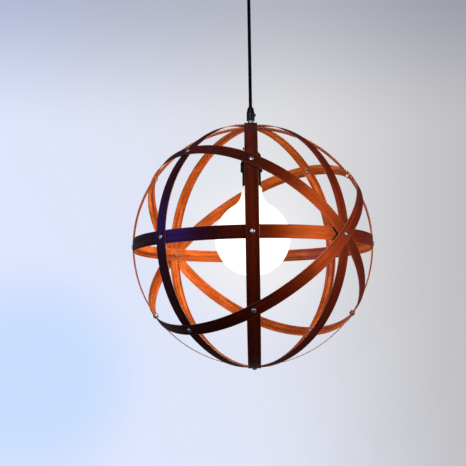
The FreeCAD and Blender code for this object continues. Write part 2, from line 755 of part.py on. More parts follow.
# The springy tongue under the insert, bent down to the bulb's contact.
tongue = doc.addObject("PartDesign::Body", "centre_contact")
tongue_sketch = sketch_in(tongue, "XZ_Plane")
tongue_low = "bulb_tip + 2 * hinge_clearance"
tongue_high = "insert_bottom - seat_clearance"
outline(
    tongue_sketch,
    [
        ("-tongue_foot", tongue_high),
        ("-tongue_foot", f"{tongue_high} - shell_wall"),
        ("-tongue_bend", f"{tongue_high} - shell_wall"),
        ("0", tongue_low),
        ("tongue_reach", tongue_low),
        ("tongue_reach", f"{tongue_low} + shell_wall"),
        ("shell_wall / 2", f"{tongue_low} + shell_wall"),
        ("shell_wall / 2 - tongue_bend", tongue_high),
    ],
)
pad = tongue.newObject("PartDesign::Pad", "Strip")
pad.Profile = tongue_sketch
pad.Midplane = True
pad.setExpression("Length", bound("bulb_contact_radius"))
named(tongue, "centre_contact")

clamp_top = "insert_top + seat_clearance + clamp_height"
for side, name in ((1, "live_terminal"), (-1, "neutral_terminal")):
    block = doc.addObject("Part::Box", name + "_block")
    for prop, formula in (("Length", "clamp_width"), ("Width", "clamp_depth"), ("Height", "clamp_height")):
        block.setExpression(prop, bound(formula))
    middle = f"{side} * clamp_out"
    placed(block, f"{clamp_top} - clamp_height", f"{middle} - clamp_width / 2", "-clamp_depth / 2")
    hole = doc.addObject("Part::Cylinder", name + "_hole")
    hole.setExpression("Radius", bound("wire_radius + wire_clearance"))
    hole.setExpression("Height", bound("clamp_hole_depth"))
    placed(hole, f"{clamp_top} - clamp_hole_depth", middle)
    clamp = doc.addObject("Part::Cut", name)
    clamp.Base, clamp.Tool = block, hole
    named(clamp, name)

# Bulb, from the bottom of its globe up

glass_top = "bulb_skirt + bulb_neck_engagement"
turned(
    "bulb_glass",
    [
        ("0", "bulb_centre - bulb_radius"),
        ("join_radius", "bulb_centre + join_height", "bulb_radius", 1),
        ("bulb_neck_radius", "bulb_centre + blend_height", "bulb_neck_blend", -1),
        ("bulb_neck_radius", "neck_foot"),
        ("glass_end_radius", "glass_shoulder", "bulb_shoulder_round", 1),
        ("glass_end_radius", glass_top),
        ("glass_end_radius - bulb_glass_wall", glass_top),
        ("glass_end_radius - bulb_glass_wall", "glass_shoulder - bulb_glass_wall"),
        ("bulb_neck_radius - bulb_glass_wall", "neck_foot - bulb_glass_wall", "bulb_shoulder_round", -1),
        ("bulb_neck_radius - bulb_glass_wall", "bulb_centre + blend_height"),
        (
            "join_radius * glass_share",
            "bulb_centre + join_height * glass_share",
            "bulb_neck_blend + bulb_glass_wall",
            1,
        ),
        ("0", "bulb_centre - bulb_radius + bulb_glass_wall", "bulb_radius - bulb_glass_wall", -1),
    ],
)
cap_top = "bulb_skirt + bulb_cap_height"
turned(
    "bulb_cap",
    [
        ("bulb_cap_radius - shell_wall", "bulb_skirt"),
        ("bulb_cap_radius", "bulb_skirt"),
        ("bulb_cap_radius", f"{cap_top} - bulb_cap_round"),
        ("bulb_cap_radius - bulb_cap_step", cap_top, "bulb_cap_round", 1),
        ("bulb_cap_hole", cap_top),
        ("bulb_cap_hole", f"{cap_top} - shell_wall"),
        ("bulb_cap_radius - bulb_cap_step", f"{cap_top} - shell_wall"),
        ("bulb_cap_radius - shell_wall", f"{cap_top} - bulb_cap_round", "bulb_cap_round - shell_wall", -1),
    ],
)
insulator_top = "bulb_tip - bulb_contact_height"
turned(
    "bulb_insulator",
    [
        ("0", f"{cap_top} + seat_clearance"),
        ("bulb_cap_radius - bulb_cap_step", f"{cap_top} + seat_clearance"),
        ("bulb_contact_radius + insulator_rim", insulator_top),
        ("0", insulator_top),
    ],
)
turned(
    "bulb_contact",
    [
        ("0", f"{insulator_top} + seat_clearance"),
        ("bulb_contact_radius", f"{insulator_top} + seat_clearance"),
        ("bulb_contact_radius", "bulb_tip - bulb_contact_round"),
        ("bulb_contact_radius - bulb_contact_round", "bulb_tip", "bulb_contact_round", 1),
        ("0", "bulb_tip"),
    ],
)
stem_foot = "bulb_centre - stem_drop"
stem_end = "glass_end_radius - bulb_glass_wall - seat_clearance"
turned(
    "bulb_stem",
    [
        ("0", stem_foot),
        ("stem_radius", stem_foot),
        ("stem_radius", "glass_shoulder - stem_flare_height"),
        (stem_end, f"{glass_top} - stem_seal_height", "stem_flare_round", -1),
        (stem_end, glass_top),
        ("0", glass_top),
    ],
)
rod_foot = Vector(number("stem_radius + filament_radius + filament_gap"), 0, 0)
lean = Placement(rod_foot, Rotation(Vector(0, 1, 0), number("filament_lean")))
rods = []
for k in range(round(number("filament_count"))):
    rod = Part.makeCylinder(number("filament_radius"), number("filament_length"))
    turn = Rotation(Vector(0, 0, 1), 360 * k / number("filament_count"))
    rod.Placement = Placement(Vector(0, 0, number(stem_foot) + 1), turn).multiply(lean)
    rods.append(rod)
group("bulb_filaments", rods)

# Ceiling cup and what it holds

cup = turned(
    "canopy_cup",
    [
        ("tube_hole_radius", "-canopy_depth"),
        ("canopy_radius - canopy_edge_radius", "-canopy_depth"),
        ("canopy_radius", "-(canopy_depth - canopy_edge_radius)", "canopy_edge_radius", 1),
        ("canopy_radius", "0"),
        ("canopy_radius - canopy_wall", "0"),
        ("canopy_radius - canopy_wall", "-(canopy_depth - canopy_edge_radius)"),
        (
            "canopy_radius - canopy_edge_radius",
            "-(canopy_depth - canopy_wall)",
            "canopy_edge_radius - canopy_wall",
            -1,
        ),
        ("tube_hole_radius", "-(canopy_depth - canopy_wall)"),
    ],
)
side_hole = ("0", "-side_screw_depth", "side_screw_hole_radius")
cut_across(cup, "YZ_Plane", circle=side_hole, length="3 * canopy_radius")

bracket = doc.addObject("PartDesign::Body", "ceiling_bracket")
profile = sketch_in(bracket, "XZ_Plane")
bend = "bracket_thickness + bracket_bend"
outline(
    profile,
    [
        ("-bracket_reach", "-bracket_ear_height"),
        ("bracket_thickness - bracket_reach", "-bracket_ear_height"),
        ("bracket_thickness - bracket_reach", f"-({bend})"),
        (f"{bend} - bracket_reach", "-bracket_thickness", "bracket_bend", -1),
        (f"bracket_reach - ({bend})", "-bracket_thickness"),
        ("bracket_reach - bracket_thickness", f"-({bend})", "bracket_bend", -1),
        ("bracket_reach - bracket_thickness", "-bracket_ear_height"),
        ("bracket_reach", "-bracket_ear_height"),
        ("bracket_reach", f"-({bend})"),
        (f"bracket_reach - ({bend})", "0", bend, 1),
        (f"{bend} - bracket_reach", "0"),
        ("-bracket_reach", f"-({bend})", bend, 1),
    ],
)
strap = bracket.newObject("PartDesign::Pad", "Strap")
strap.Profile = profile
strap.Midplane = True
strap.setExpression("Length", bound("bracket_width"))
named(bracket, "ceiling_bracket")
straight = "(slot_length / 2 - slot_radius)"
for side in ("1", "-1"):
    middle = f"{side} * slot_spacing / 2"
    slot = [
        (f"{middle} - {straight}", "-slot_radius", "slot_radius", 1),
        (f"{middle} + {straight}", "-slot_radius"),
        (f"{middle} + slot_length / 2", "0", "slot_radius", 1),
        (f"{middle} + {straight}", "slot_radius", "slot_radius", 1),
        (f"{middle} - {straight}", "slot_radius"),
        (f"{middle} - slot_length / 2", "0", "slot_radius", 1),
    ]
    cut_across(bracket, "XY_Plane", corners=slot, length="4 * bracket_thickness")
cut_across(bracket, "XY_Plane", circle=("0", "0", "cable_hole_radius"), length="4 * bracket_thickness")
ear_hole = ("0", "-side_screw_depth", "side_screw_radius + thread_clearance")
cut_across(bracket, "YZ_Plane", circle=ear_hole, length="2 * canopy_radius")

canopy_tube_foot = "upper_mouth + grip_length - grip_thread_depth + seat_clearance"
threaded_tube("canopy_tube", f"canopy_tube_top - ({canopy_tube_foot})", canopy_tube_foot)
hex_nut("canopy_nut", "tube_nut_flats", "tube_nut_height", nut_bore, "canopy_floor")
cord_tail("canopy_cord_tail", "canopy_tube_top + tube_end_gap - upper_mouth", "upper_mouth", turn=UPSIDE_DOWN)

side_screws = []
for side in (1, -1):
    head = number("side_screw_head_height")
    reach = number("canopy_wall + bracket_wall_gap + bracket_thickness + side_screw_tail")
    screw = Part.makeCylinder(number("side_screw_head_radius"), head)
    screw = screw.makeFillet(head / 3, [screw.Edges[0]])
    shank = Part.makeCylinder(number("side_screw_radius"), reach, Vector(0, 0, -reach))
    screw = screw.fuse(shank).removeSplitter()
    seat = Vector(side * number("canopy_radius + seat_clearance"), 0, -number("side_screw_depth"))
    screw.Placement = Placement(seat, Rotation(Vector(0, 0, 1), Vector(side, 0, 0)))
    side_screws.append(screw)
group("canopy_side_screws", side_screws)

# Terminal block: a moulded bar with a bore and two clamping screws for each of its two poles

POLES = (-1, 1)
RIGHT = Vector(1, 0, 0)
block_start, block_end = number("terminal_offset"), number("terminal_offset + terminal_length")
block_top = -number("bracket_thickness + seat_clearance")
pitch, height = number("terminal_pitch"), number("terminal_height")
level, bore = number("terminal_level"), number("terminal_bore_radius")
ferrule_radius = bore + number("ferrule_wall")
clamp_radius = number("terminal_screw_radius")
clamp_hole = number("terminal_screw_radius + terminal_screw_clearance")
screw_places = [
    Vector(block_start + (block_end - block_start) * share, pole * pitch / 2, block_top - height)
    for pole in POLES
    for share in (0.25, 0.75)
]
bar = number("terminal_bar_height")
block = Part.makeBox(block_end - block_start, 2 * pitch, bar, Vector(block_start, -pitch, block_top - bar))
tower = number("terminal_tower_radius")
block = block.fuse([Part.makeCylinder(tower, height / 2, place) for place in screw_places])
ferrules, clamps = [], []
drills = [Part.makeCylinder(clamp_hole, level - block_top + height, place) for place in screw_places]
for pole in POLES:
    start = Vector(block_start, pole * pitch / 2, level)
    around = ferrule_radius + number("seat_clearance")
    block = block.cut(Part.makeCylinder(around, block_end - block_start, start, RIGHT))
    inset = number("ferrule_inset")
    length = block_end - block_start - 2 * inset
    start += RIGHT * inset
    outside = Part.makeCylinder(ferrule_radius, length, start, RIGHT)
    ferrules.append(outside.cut([Part.makeCylinder(bore, length, start, RIGHT), *drills]))
moulding = doc.addObject("Part::Feature", "terminal_block")
moulding.Shape = block.cut(drills).removeSplitter()
named(moulding, "terminal_block")
for place in screw_places:
    inset = number("terminal_screw_inset")
    tip = level - number("wire_radius + terminal_screw_clearance")
    clamps.append(Part.makeCylinder(clamp_radius, tip - place.z - inset, place + Vector(0, 0, inset)))
group("terminal_ferrules", ferrules)
group("terminal_screws", clamps)

# Wires


def rounded_wire(points, radius, thickness):
    """A round wire along straight runs joined by tangent arcs of one radius."""
    edges, at = [], points[0]
    for before, corner, after in zip(points, points[1:], points[2:]):
        back, on = (before - corner).normalize(), (after - corner).normalize()
        half = back.getAngle(on) / 2
        cut = radius / math.tan(half)
        start, end = corner + back * cut, corner + on * cut
        middle = corner + (back + on).normalize() * (radius / math.sin(half) - radius)
        edges += [Part.LineSegment(at, start).toShape(), Part.Arc(start, middle, end).toShape()]
        at = end
    edges.append(Part.LineSegment(at, points[-1]).toShape())
    circle = Part.Wire(Part.Circle(points[0], points[1] - points[0], thickness).toShape())
    return Part.Wire(edges).makePipeShell([circle], True, False)


core, bend_radius = number("wire_radius"), number("2.4 * wire_radius")
beside = number("wire_radius + wire_clearance")
lamp_wires, canopy_wires = [], []
for pole in POLES:
    cut_end = number(f"{tube_bottom} + tube_end_gap - hinge_clearance")
    out, top = pole * number("clamp_out"), number(clamp_top)
    route = [
        Vector(pole * beside, 0, cut_end),
        Vector(pole * beside, 0, cut_end - number("wire_stub")),
        Vector(out, 0, top + number("wire_rise")),
        Vector(out, 0, top - number("wire_seat")),
    ]
    lamp_wires.append(rounded_wire(route, bend_radius, core))
    cut_end = number("canopy_tube_top + tube_end_gap + hinge_clearance")
    out = pole * pitch / 2
    route = [
        Vector(0, pole * beside, cut_end),
        Vector(0, pole * beside, cut_end + number("canopy_wire_stub")),
        Vector(0, out, level - number("canopy_wire_drop")),
        Vector(0, out, level),
        Vector(block_start + number("canopy_wire_seat"), out, level),
    ]
    canopy_wires.append(rounded_wire(route, bend_radius, core))
group("lamp_wires", lamp_wires)
group("canopy_wires", canopy_wires)

# Check and write

doc.recompute()
for thing in doc.Objects:
    if set(thing.State) & {"Invalid", "Error"}:
        raise ValueError(f"{thing.Label} failed: {thing.State}")
os.makedirs("parts", exist_ok=True)
for part in parts:
    shape = part.Shape
    if shape.isNull() or not shape.isValid() or not shape.Solids:
        raise ValueError(f"{part.Label} is no valid solid")
    shape.exportStep(f"parts/{part.Label}.step")
    print(f"{part.Label}: {len(shape.Solids)} solid, {shape.Volume:.0f} mm3")
for level_name in ("orb_centre", "upper_mouth", "lower_mouth", "bulb_tip", "bulb_centre"):
    print(f"{level_name}: {number(level_name):.2f} mm")
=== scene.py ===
"""The orb lamp's finished look: bent veneer hoops, screws, lampholder, globe bulb, cord and ceiling cup, in metres.

Laid out as an add-on and run as a script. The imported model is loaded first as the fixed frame, and every piece
made here lies where its CAD node lies. -Y is the front, +X the right, and the ceiling is at 0.
"""

import math

import bpy
from bpy.props import FloatProperty, FloatVectorProperty, IntProperty, PointerProperty
from mathutils import Matrix, Vector


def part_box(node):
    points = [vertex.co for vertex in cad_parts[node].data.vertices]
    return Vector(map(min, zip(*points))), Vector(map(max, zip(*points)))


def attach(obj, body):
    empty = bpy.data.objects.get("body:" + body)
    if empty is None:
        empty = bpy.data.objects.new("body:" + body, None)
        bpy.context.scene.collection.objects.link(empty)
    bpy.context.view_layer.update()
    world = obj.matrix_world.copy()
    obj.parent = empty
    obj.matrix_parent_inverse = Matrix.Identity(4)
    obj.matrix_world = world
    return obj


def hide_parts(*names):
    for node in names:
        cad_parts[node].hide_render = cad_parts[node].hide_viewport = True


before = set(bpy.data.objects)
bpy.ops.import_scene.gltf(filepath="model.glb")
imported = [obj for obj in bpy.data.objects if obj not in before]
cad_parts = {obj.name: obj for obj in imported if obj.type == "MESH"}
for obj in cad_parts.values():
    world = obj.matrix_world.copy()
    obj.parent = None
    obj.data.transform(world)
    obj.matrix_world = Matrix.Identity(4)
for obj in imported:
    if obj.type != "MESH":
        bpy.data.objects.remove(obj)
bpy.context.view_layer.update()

bl_info = {
    "name": "Veneer orb lamp",
    "version": (1, 0, 0),
    "blender": (4, 5, 0),
    "location": "3D View > Sidebar > Orb lamp",
    "description": "Makes the visible pieces of a hanging orb lamp of bent veneer hoops",
    "category": "Add Mesh",
}

MM = 0.001
AIR = 0.05 * MM

# Places that the frame gives
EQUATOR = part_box("equator_hoop")
ORB_CENTRE = (EQUATOR[0] + EQUATOR[1]) / 2
POLE = Vector((0, 0, 1))


# Sizes and colours that a user would change


class OrbSettings(bpy.types.PropertyGroup):
    radius: FloatProperty(
        name="Orb radius", description="Outside of the two tilted hoops", default=200 * MM, unit="LENGTH"
    )
    strip_width: FloatProperty(
        name="Strip width", description="Width of a veneer strip", default=EQUATOR[1].z - EQUATOR[0].z, unit="LENGTH"
    )
    strip_thickness: FloatProperty(
        name="Strip thickness", description="Thickness of a veneer strip", default=1 * MM, unit="LENGTH"
    )
    edge_rounding: FloatProperty(
        name="Edge rounding", description="Radius of a strip's sanded edges", default=0.28 * MM, unit="LENGTH"
    )
    raise_end: FloatProperty(
        name="Raise end",
        description="Angle from a four-way crossing at which a hoop is back on its plain layer",
        default=math.radians(38),
        subtype="ANGLE",
    )
    steps: IntProperty(name="Steps", description="Cross-sections round one hoop", default=720)


class FinishSettings(bpy.types.PropertyGroup):
    outer_wood: FloatVectorProperty(
        name="Outer face", description="Stained outer face", default=(0.15, 0.013, 0.005), subtype="COLOR"
    )
    inner_wood: FloatVectorProperty(
        name="Inner face", description="Thinly stained inner face", default=(0.5, 0.112, 0.02), subtype="COLOR"
    )
    edge_wood: FloatVectorProperty(
        name="Strip edge", description="Sanded edges of the strips", default=(0.84, 0.6, 0.46), subtype="COLOR"
    )
    plastic: FloatVectorProperty(
        name="Black plastic", description="Lampholder and cord grips", default=(0.005, 0.005, 0.006), subtype="COLOR"
    )
    zinc: FloatVectorProperty(
        name="Zinc", description="Screws, nuts and tubes", default=(0.7, 0.7, 0.72), subtype="COLOR"
    )
    cord: FloatVectorProperty(name="Cord", description="Cord's sheath", default=(0.004, 0.004, 0.006), subtype="COLOR")


class BulbSettings(bpy.types.PropertyGroup):
    glow: FloatProperty(name="Glow", description="Brightness of the globe itself", default=1.5)
    power: FloatProperty(
        name="Power", description="Light that the bulb throws on the lamp", default=1.25, unit="POWER"
    )
    warmth: FloatVectorProperty(
        name="Light colour", description="Colour of the bulb's light", default=(1.0, 0.84, 0.62), subtype="COLOR"
    )


class StageSettings(bpy.types.PropertyGroup):
    distance: FloatProperty(
        name="Camera distance", description="From the camera to the orb's centre", default=1.758, unit="LENGTH"
    )
    elevation: FloatProperty(
        name="Camera elevation", description="Below 0 the camera looks up", default=math.radians(-6.07), subtype="ANGLE"
    )
    roll: FloatProperty(
        name="Camera roll", description="Turn about the line of sight", default=math.radians(-0.91), subtype="ANGLE"
    )
    view_angle: FloatProperty(
        name="View angle", description="Width of the picture", default=math.radians(24.82), subtype="ANGLE"
    )
    floor_drop: FloatProperty(
        name="Floor", description="From the ceiling down to the floor", default=1.7, unit="LENGTH"
    )


# Node helpers


def feed(socket, value):
    """Gives an input a value, or links it to another socket or to a node's first output."""
    if isinstance(value, bpy.types.Node):
        value = value.outputs[0]
    if isinstance(value, bpy.types.NodeSocket):
        socket.id_data.links.new(value, socket)
    else:
        socket.default_value = value


def node(tree, kind, inputs=None, **settings):
    """A new node. inputs maps a socket's name or number to what feeds it."""
    made = tree.nodes.new(kind)
    for name, value in settings.items():
        setattr(made, name, value)
    for key, value in (inputs or {}).items():
        feed(made.inputs[key], value)
    return made


def maths(tree, operation, *values):
    return node(tree, "ShaderNodeMath", dict(enumerate(values)), operation=operation).outputs[0]


def times(tree, *values):
    return maths(tree, "MULTIPLY", *values)


def noise(tree, place, scale, detail=3.0, roughness=0.55):
    values = {"Vector": place, "Scale": scale, "Detail": detail, "Roughness": roughness}
    return node(tree, "ShaderNodeTexNoise", values).outputs["Fac"]


def stretched(tree, place, *scale):
    """Texture coordinates, squeezed or stretched along each axis."""
    return node(tree, "ShaderNodeMapping", {"Vector": place, "Scale": scale}).outputs[0]


def between(tree, value, low, high, start=0.0, end=1.0, smooth=True):
    """start below low, end above high, and a ramp between them."""
    kind = "SMOOTHSTEP" if smooth else "LINEAR"
    values = {"Value": value, "From Min": low, "From Max": high, "To Min": start, "To Max": end}
    return node(tree, "ShaderNodeMapRange", values, interpolation_type=kind).outputs["Result"]


def blended(tree, share, first, second, how="MIX"):
    """Two colours mixed: all first at share 0, all second at share 1."""
    first, second = (c if isinstance(c, bpy.types.NodeSocket) else (*c, 1.0)[:4] for c in (first, second))
    return node(tree, "ShaderNodeMix", {0: share, 6: first, 7: second}, data_type="RGBA", blend_type=how).outputs[2]


def axes(tree, vector):
    return node(tree, "ShaderNodeSeparateXYZ", {0: vector}).outputs


def new_material(name):
    """A material with a Principled shader, as (material, tree, shader, object coordinates)."""
    made = bpy.data.materials.new(name)
    made.use_nodes = True
    tree = made.node_tree
    shader = tree.nodes["Principled BSDF"]
    place = node(tree, "ShaderNodeTexCoord").outputs["Object"]
    return made, tree, shader, place


def set_sockets(shader, **values):
    for name, value in values.items():
        feed(shader.inputs[name.replace("_", " ").title().replace("Ior", "IOR")], value)


def bumped(tree, height, depth, strength):
    return node(tree, "ShaderNodeBump", {"Height": height, "Distance": depth, "Strength": strength}).outputs[0]


def darker(colour, share):
    return tuple(channel * share for channel in colour[:3])


# Materials


def attribute(tree, name):
    return node(tree, "ShaderNodeAttribute", attribute_name=name).outputs


def wood_material(finish, orb):
    """Stained veneer: grain and dark pores along the strip, an orange inner face and pale worn edges."""
    made, tree, shader, _ = new_material("stained_veneer")
    place = attribute(tree, "strip_place")["Vector"]
    out = attribute(tree, "strip_out")["Fac"]
    across = attribute(tree, "strip_across")["Fac"]
    half, wide = orb.strip_thickness / 2, orb.strip_width

    def figure(along, over, detail, roughness=0.55):
        """Noise drawn out along the strip, so many waves to the metre along it and over its width."""
        return noise(tree, stretched(tree, place, along, along, over), 1.0, detail, roughness)

    bands, streaks, clouds = figure(3, 150, 2.0), figure(9, 900, 4.0, 0.65), figure(22, 60, 4.0, 0.65)
    pores = between(tree, figure(90, 2600, 1.0), 0.62, 0.7)
    inside = between(tree, out, -0.98 * half, -0.7 * half, 1.0, 0.0)
    outside = between(tree, out, 0.7 * half, 0.98 * half)
    face = blended(tree, inside, finish.edge_wood, finish.inner_wood)
    face = blended(tree, outside, face, finish.outer_wood)
    deep = blended(tree, 1.0, face, (0.33, 0.27, 0.25), "MULTIPLY")
    light = blended(tree, 1.0, face, (1.45, 1.5, 1.5), "MULTIPLY")
    tone = maths(tree, "ADD", times(tree, bands, 0.55), times(tree, streaks, 0.45))
    grain = blended(tree, between(tree, tone, 0.38, 0.63), deep, light)
    grain = blended(tree, between(tree, clouds, 0.42, 0.66, 0.0, 0.5), grain, deep)
    grain = blended(tree, between(tree, clouds, 0.48, 0.34, 0.0, 0.8), grain, (1.5, 1.75, 2.2), "MULTIPLY")
    worn = between(tree, maths(tree, "ABSOLUTE", across), 0.47 * wide, 0.497 * wide, 0.0, 0.6)
    worn = times(tree, worn, between(tree, clouds, 0.3, 0.6, 0.3, 1.0))
    grain = blended(tree, worn, grain, finish.edge_wood)
    set_sockets(
        shader,
        base_color=blended(tree, times(tree, pores, 0.55), grain, darker(finish.outer_wood, 0.25)),
        roughness=between(tree, streaks, 0.34, 0.66, 0.62, 0.3),
        specular_tint=(1.0, 0.3, 0.08, 1.0),
        coat_weight=0.2,
        coat_roughness=0.3,
        subsurface_weight=0.1,
        subsurface_radius=(1.0, 0.42, 0.15),
        subsurface_scale=1.5 * MM,
        normal=bumped(tree, streaks, 0.06 * MM, 0.3),
    )
    return made


def plastic_material(name, colour, roughness, grain=2200.0, gleam=0.5):
    """Moulded plastic or rubber with a fine skin and slightly uneven gloss."""
    made, tree, shader, place = new_material(name)
    patches = noise(tree, place, 90.0, 3.0)
    set_sockets(
        shader,
        base_color=blended(tree, patches, darker(colour, 0.8), darker(colour, 1.3)),
        roughness=between(tree, patches, 0.3, 0.7, roughness - 0.05, roughness + 0.05),
        specular_ior_level=gleam,
        normal=bumped(tree, noise(tree, place, grain, 2.0), 0.02 * MM, 0.35),
    )
    return made


def metal_material(name, colour, roughness):
    """Plated or bare metal with fine tool marks round its axis and duller patches."""
    made, tree, shader, place = new_material(name)
    marks = noise(tree, stretched(tree, place, 400, 400, 3000), 1.0, 3.0)
    patches = noise(tree, place, 160.0, 3.0)
    uneven = maths(tree, "ADD", times(tree, marks, 0.5), times(tree, patches, 0.5))
    set_sockets(
        shader,
        base_color=blended(tree, between(tree, patches, 0.3, 0.7), darker(colour, 0.82), colour),
        roughness=between(tree, uneven, 0.35, 0.65, roughness - 0.07, roughness + 0.1),
        metallic=1.0,
        normal=bumped(tree, marks, 0.015 * MM, 0.4),
    )
    return made


def opal_material(bulb, centre):
    """Opal glass lit from inside, a little weaker towards the neck. The lamp inside it lights the rest."""
    made, tree, shader, place = new_material("glowing_opal_glass")
    share = between(tree, axes(tree, place)["Z"], centre + 40 * MM, centre + 92 * MM, 1.0, 0.45)
    cloud = between(tree, noise(tree, place, 30.0, 2.0), 0.3, 0.7, 0.96, 1.0)
    set_sockets(
        shader,
        base_color=blended(tree, cloud, (0.9, 0.88, 0.83), (0.94, 0.93, 0.9)),
        roughness=0.18,
        emission_color=(1.0, 0.95, 0.86, 1.0),
        emission_strength=times(tree, times(tree, share, cloud), bulb.glow),
    )
    made.cycles.emission_sampling = "NONE"
    return made


def ceramic_material():
    made, tree, shader, place = new_material("white_ceramic")
    specks = noise(tree, place, 700.0, 2.0)
    set_sockets(
        shader,
        base_color=blended(tree, between(tree, specks, 0.55, 0.75), (0.78, 0.76, 0.7), (0.6, 0.57, 0.5)),
        roughness=0.45,
        normal=bumped(tree, specks, 0.03 * MM, 0.4),
    )
    return made


# Mesh helpers


def rounded(corners, steps=5):
    """The points of a closed outline. A corner is (across, up) or, where it is rounded, (across, up, radius)."""
    points = []
    for i, corner in enumerate(corners):
        at = Vector(corner[:2])
        if len(corner) == 2:
            points.append(at)
            continue
        radius = corner[2]
        back = (Vector(corners[i - 1][:2]) - at).normalized()
        on = (Vector(corners[(i + 1) % len(corners)][:2]) - at).normalized()
        half = back.angle(on) / 2
        middle = at + (back + on).normalized() * (radius / math.sin(half))
        first = at + back * (radius / math.tan(half)) - middle
        last = at + on * (radius / math.tan(half)) - middle
        points += [middle + first.slerp(last, k / steps).normalized() * radius for k in range(steps + 1)]
    return points


def arc(middle, radius, start, end, steps):
    """Points from one angle to the other, in degrees, both ends included."""
    angles = [math.radians(start + (end - start) * k / steps) for k in range(steps + 1)]
    return [Vector((middle[0] + radius * math.cos(a), middle[1] + radius * math.sin(a))) for a in angles]


def smooth_outside(mesh, crease=32):
    """Faces pointing out, smooth but for creases sharper than that many degrees."""
    mesh.calc_loop_triangles()
    corners = ([mesh.vertices[i].co for i in triangle.vertices] for triangle in mesh.loop_triangles)
    if sum(a.dot(b.cross(c)) for a, b, c in corners) < 0:
        mesh.flip_normals()
    mesh.shade_smooth()
    mesh.set_sharp_from_angle(angle=math.radians(crease))
    mesh.update()


def new_object(name, mesh):
    made = bpy.data.objects.new(name, mesh)
    bpy.context.scene.collection.objects.link(made)
    return made


def solid(name, vertices, faces, crease, place=None):
    """A closed mesh, moved by the matrix place."""
    mesh = bpy.data.meshes.new(name)
    mesh.from_pydata(vertices, [], faces)
    if place:
        mesh.transform(place)
    smooth_outside(mesh, crease)
    return new_object(name, mesh)


def spun(name, outline, segments=96, shape=None, place=None, crease=32):
    """A closed outline of (radius, height) points turned about Z. shape(angle, radius, height) can change a radius."""
    vertices, rows = [], []
    for radius, height in outline:
        if radius < 1e-7:
            rows.append([len(vertices)] * segments)
            vertices.append((0, 0, height))
            continue
        rows.append(range(len(vertices), len(vertices) + segments))
        for k in range(segments):
            angle = 2 * math.pi * k / segments
            reach = shape(angle, radius, height) if shape else radius
            vertices.append((reach * math.cos(angle), reach * math.sin(angle), height))
    faces = []
    for row, following in zip(rows, rows[1:] + rows[:1]):
        for k in range(segments):
            after = (k + 1) % segments
            loop = [row[k], row[after], following[after], following[k]]
            loop = [v for j, v in enumerate(loop) if v != loop[j - 1]]
            if len(loop) > 2:
                faces.append(loop)
    return solid(name, vertices, faces, crease, place)


def lofted(name, loops, crease=40):
    """A closed mesh through loops of points, all with the same count, and a face over each end."""
    count, last = len(loops[0]), (len(loops) - 1) * len(loops[0])
    faces = [list(range(count))[::-1], list(range(last, last + count))]
    for row in range(0, last, count):
        for k in range(count):
            after = (k + 1) % count
            faces.append([row + k, row + after, row + count + after, row + count + k])
    return solid(name, [point for loop in loops for point in loop], faces, crease)


def curve_through(name, kind, points):
    curve = bpy.data.curves.new(name, "CURVE")
    line = curve.splines.new(kind)
    line.points.add(len(points) - 1)
    for item, (x, y, z) in zip(line.points, points):
        item.co = (x, y, z, 1)
    return curve, line


def raised_by(height):
    return Matrix.Translation((0, 0, height))


def without_modifiers(piece):
    """The piece's evaluated shape, as the piece's own plain mesh."""
    depsgraph = bpy.context.evaluated_depsgraph_get()
    done = piece.evaluated_get(depsgraph)
    mesh = bpy.data.meshes.new_from_object(done, preserve_all_data_layers=True, depsgraph=depsgraph)
    piece.modifiers.clear()
    piece.data = mesh
    return piece


def grown(name, tree, start=None, **inputs):
    """Runs a geometry node tree on a mesh, or on an empty one, and keeps the result as a plain mesh."""
    piece = new_object(name, start or bpy.data.meshes.new(name))
    modifier = piece.modifiers.new("shape", "NODES")
    modifier.node_group = tree
    sockets = {item.name: item for item in tree.interface.items_tree if item.in_out == "INPUT"}
    for key, value in inputs.items():
        modifier[sockets[key.replace("_", " ").capitalize()].identifier] = value
    return without_modifiers(piece)


def new_tree(name, **inputs):
    """A geometry node tree with a Geometry socket in and out and the named inputs, as (tree, group input node)."""
    tree = bpy.data.node_groups.new(name, "GeometryNodeTree")
    tree.interface.new_socket(name="Geometry", in_out="INPUT", socket_type="NodeSocketGeometry")
    tree.interface.new_socket(name="Geometry", in_out="OUTPUT", socket_type="NodeSocketGeometry")
    for key, kind in inputs.items():
        label = key.replace("_", " ").capitalize()
        tree.interface.new_socket(name=label, in_out="INPUT", socket_type="NodeSocket" + kind)
    return tree, tree.nodes.new("NodeGroupInput")


def stored(tree, geometry, name, value, kind):
    values = {"Geometry": geometry, "Name": name, "Value": value}
    return node(tree, "GeometryNodeStoreNamedAttribute", values, data_type=kind, domain="POINT")


def tree_end(tree, geometry, material):
    real = node(tree, "GeometryNodeRealizeInstances", {"Geometry": geometry})
    painted = node(tree, "GeometryNodeSetMaterial", {"Geometry": real, "Material": material})
    node(tree, "NodeGroupOutput", {0: painted})
    return tree


def lit_group(name):
    """The pieces that the gleams of that name show on."""
    return bpy.data.collections.get(name) or bpy.data.collections.new(name)


def settle(piece, body, slot, *nodes, material=None):
    """Gives a finished piece its material, chosen by its slot unless one is given, and its body. It hides the CAD nodes
    that it stands for, and puts it among the pieces that a gleam shows on.
    """
    if not any(piece.data.materials):
        piece.data.materials.clear()
        piece.data.materials.append(material or finish_of(slot))
    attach(piece, body)
    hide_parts(*nodes)
    if slot != "black_cord":
        lit_group("hoops" if slot == "veneer" else "hard_pieces").objects.link(piece)
    return piece


def paint(material, *nodes):
    """A carried-over CAD node keeps its shape and gets this finish."""
    for name in nodes:
        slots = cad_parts[name].data.materials
        slots.clear()
        slots.append(material)
        lit_group("hard_pieces").objects.link(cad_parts[name])


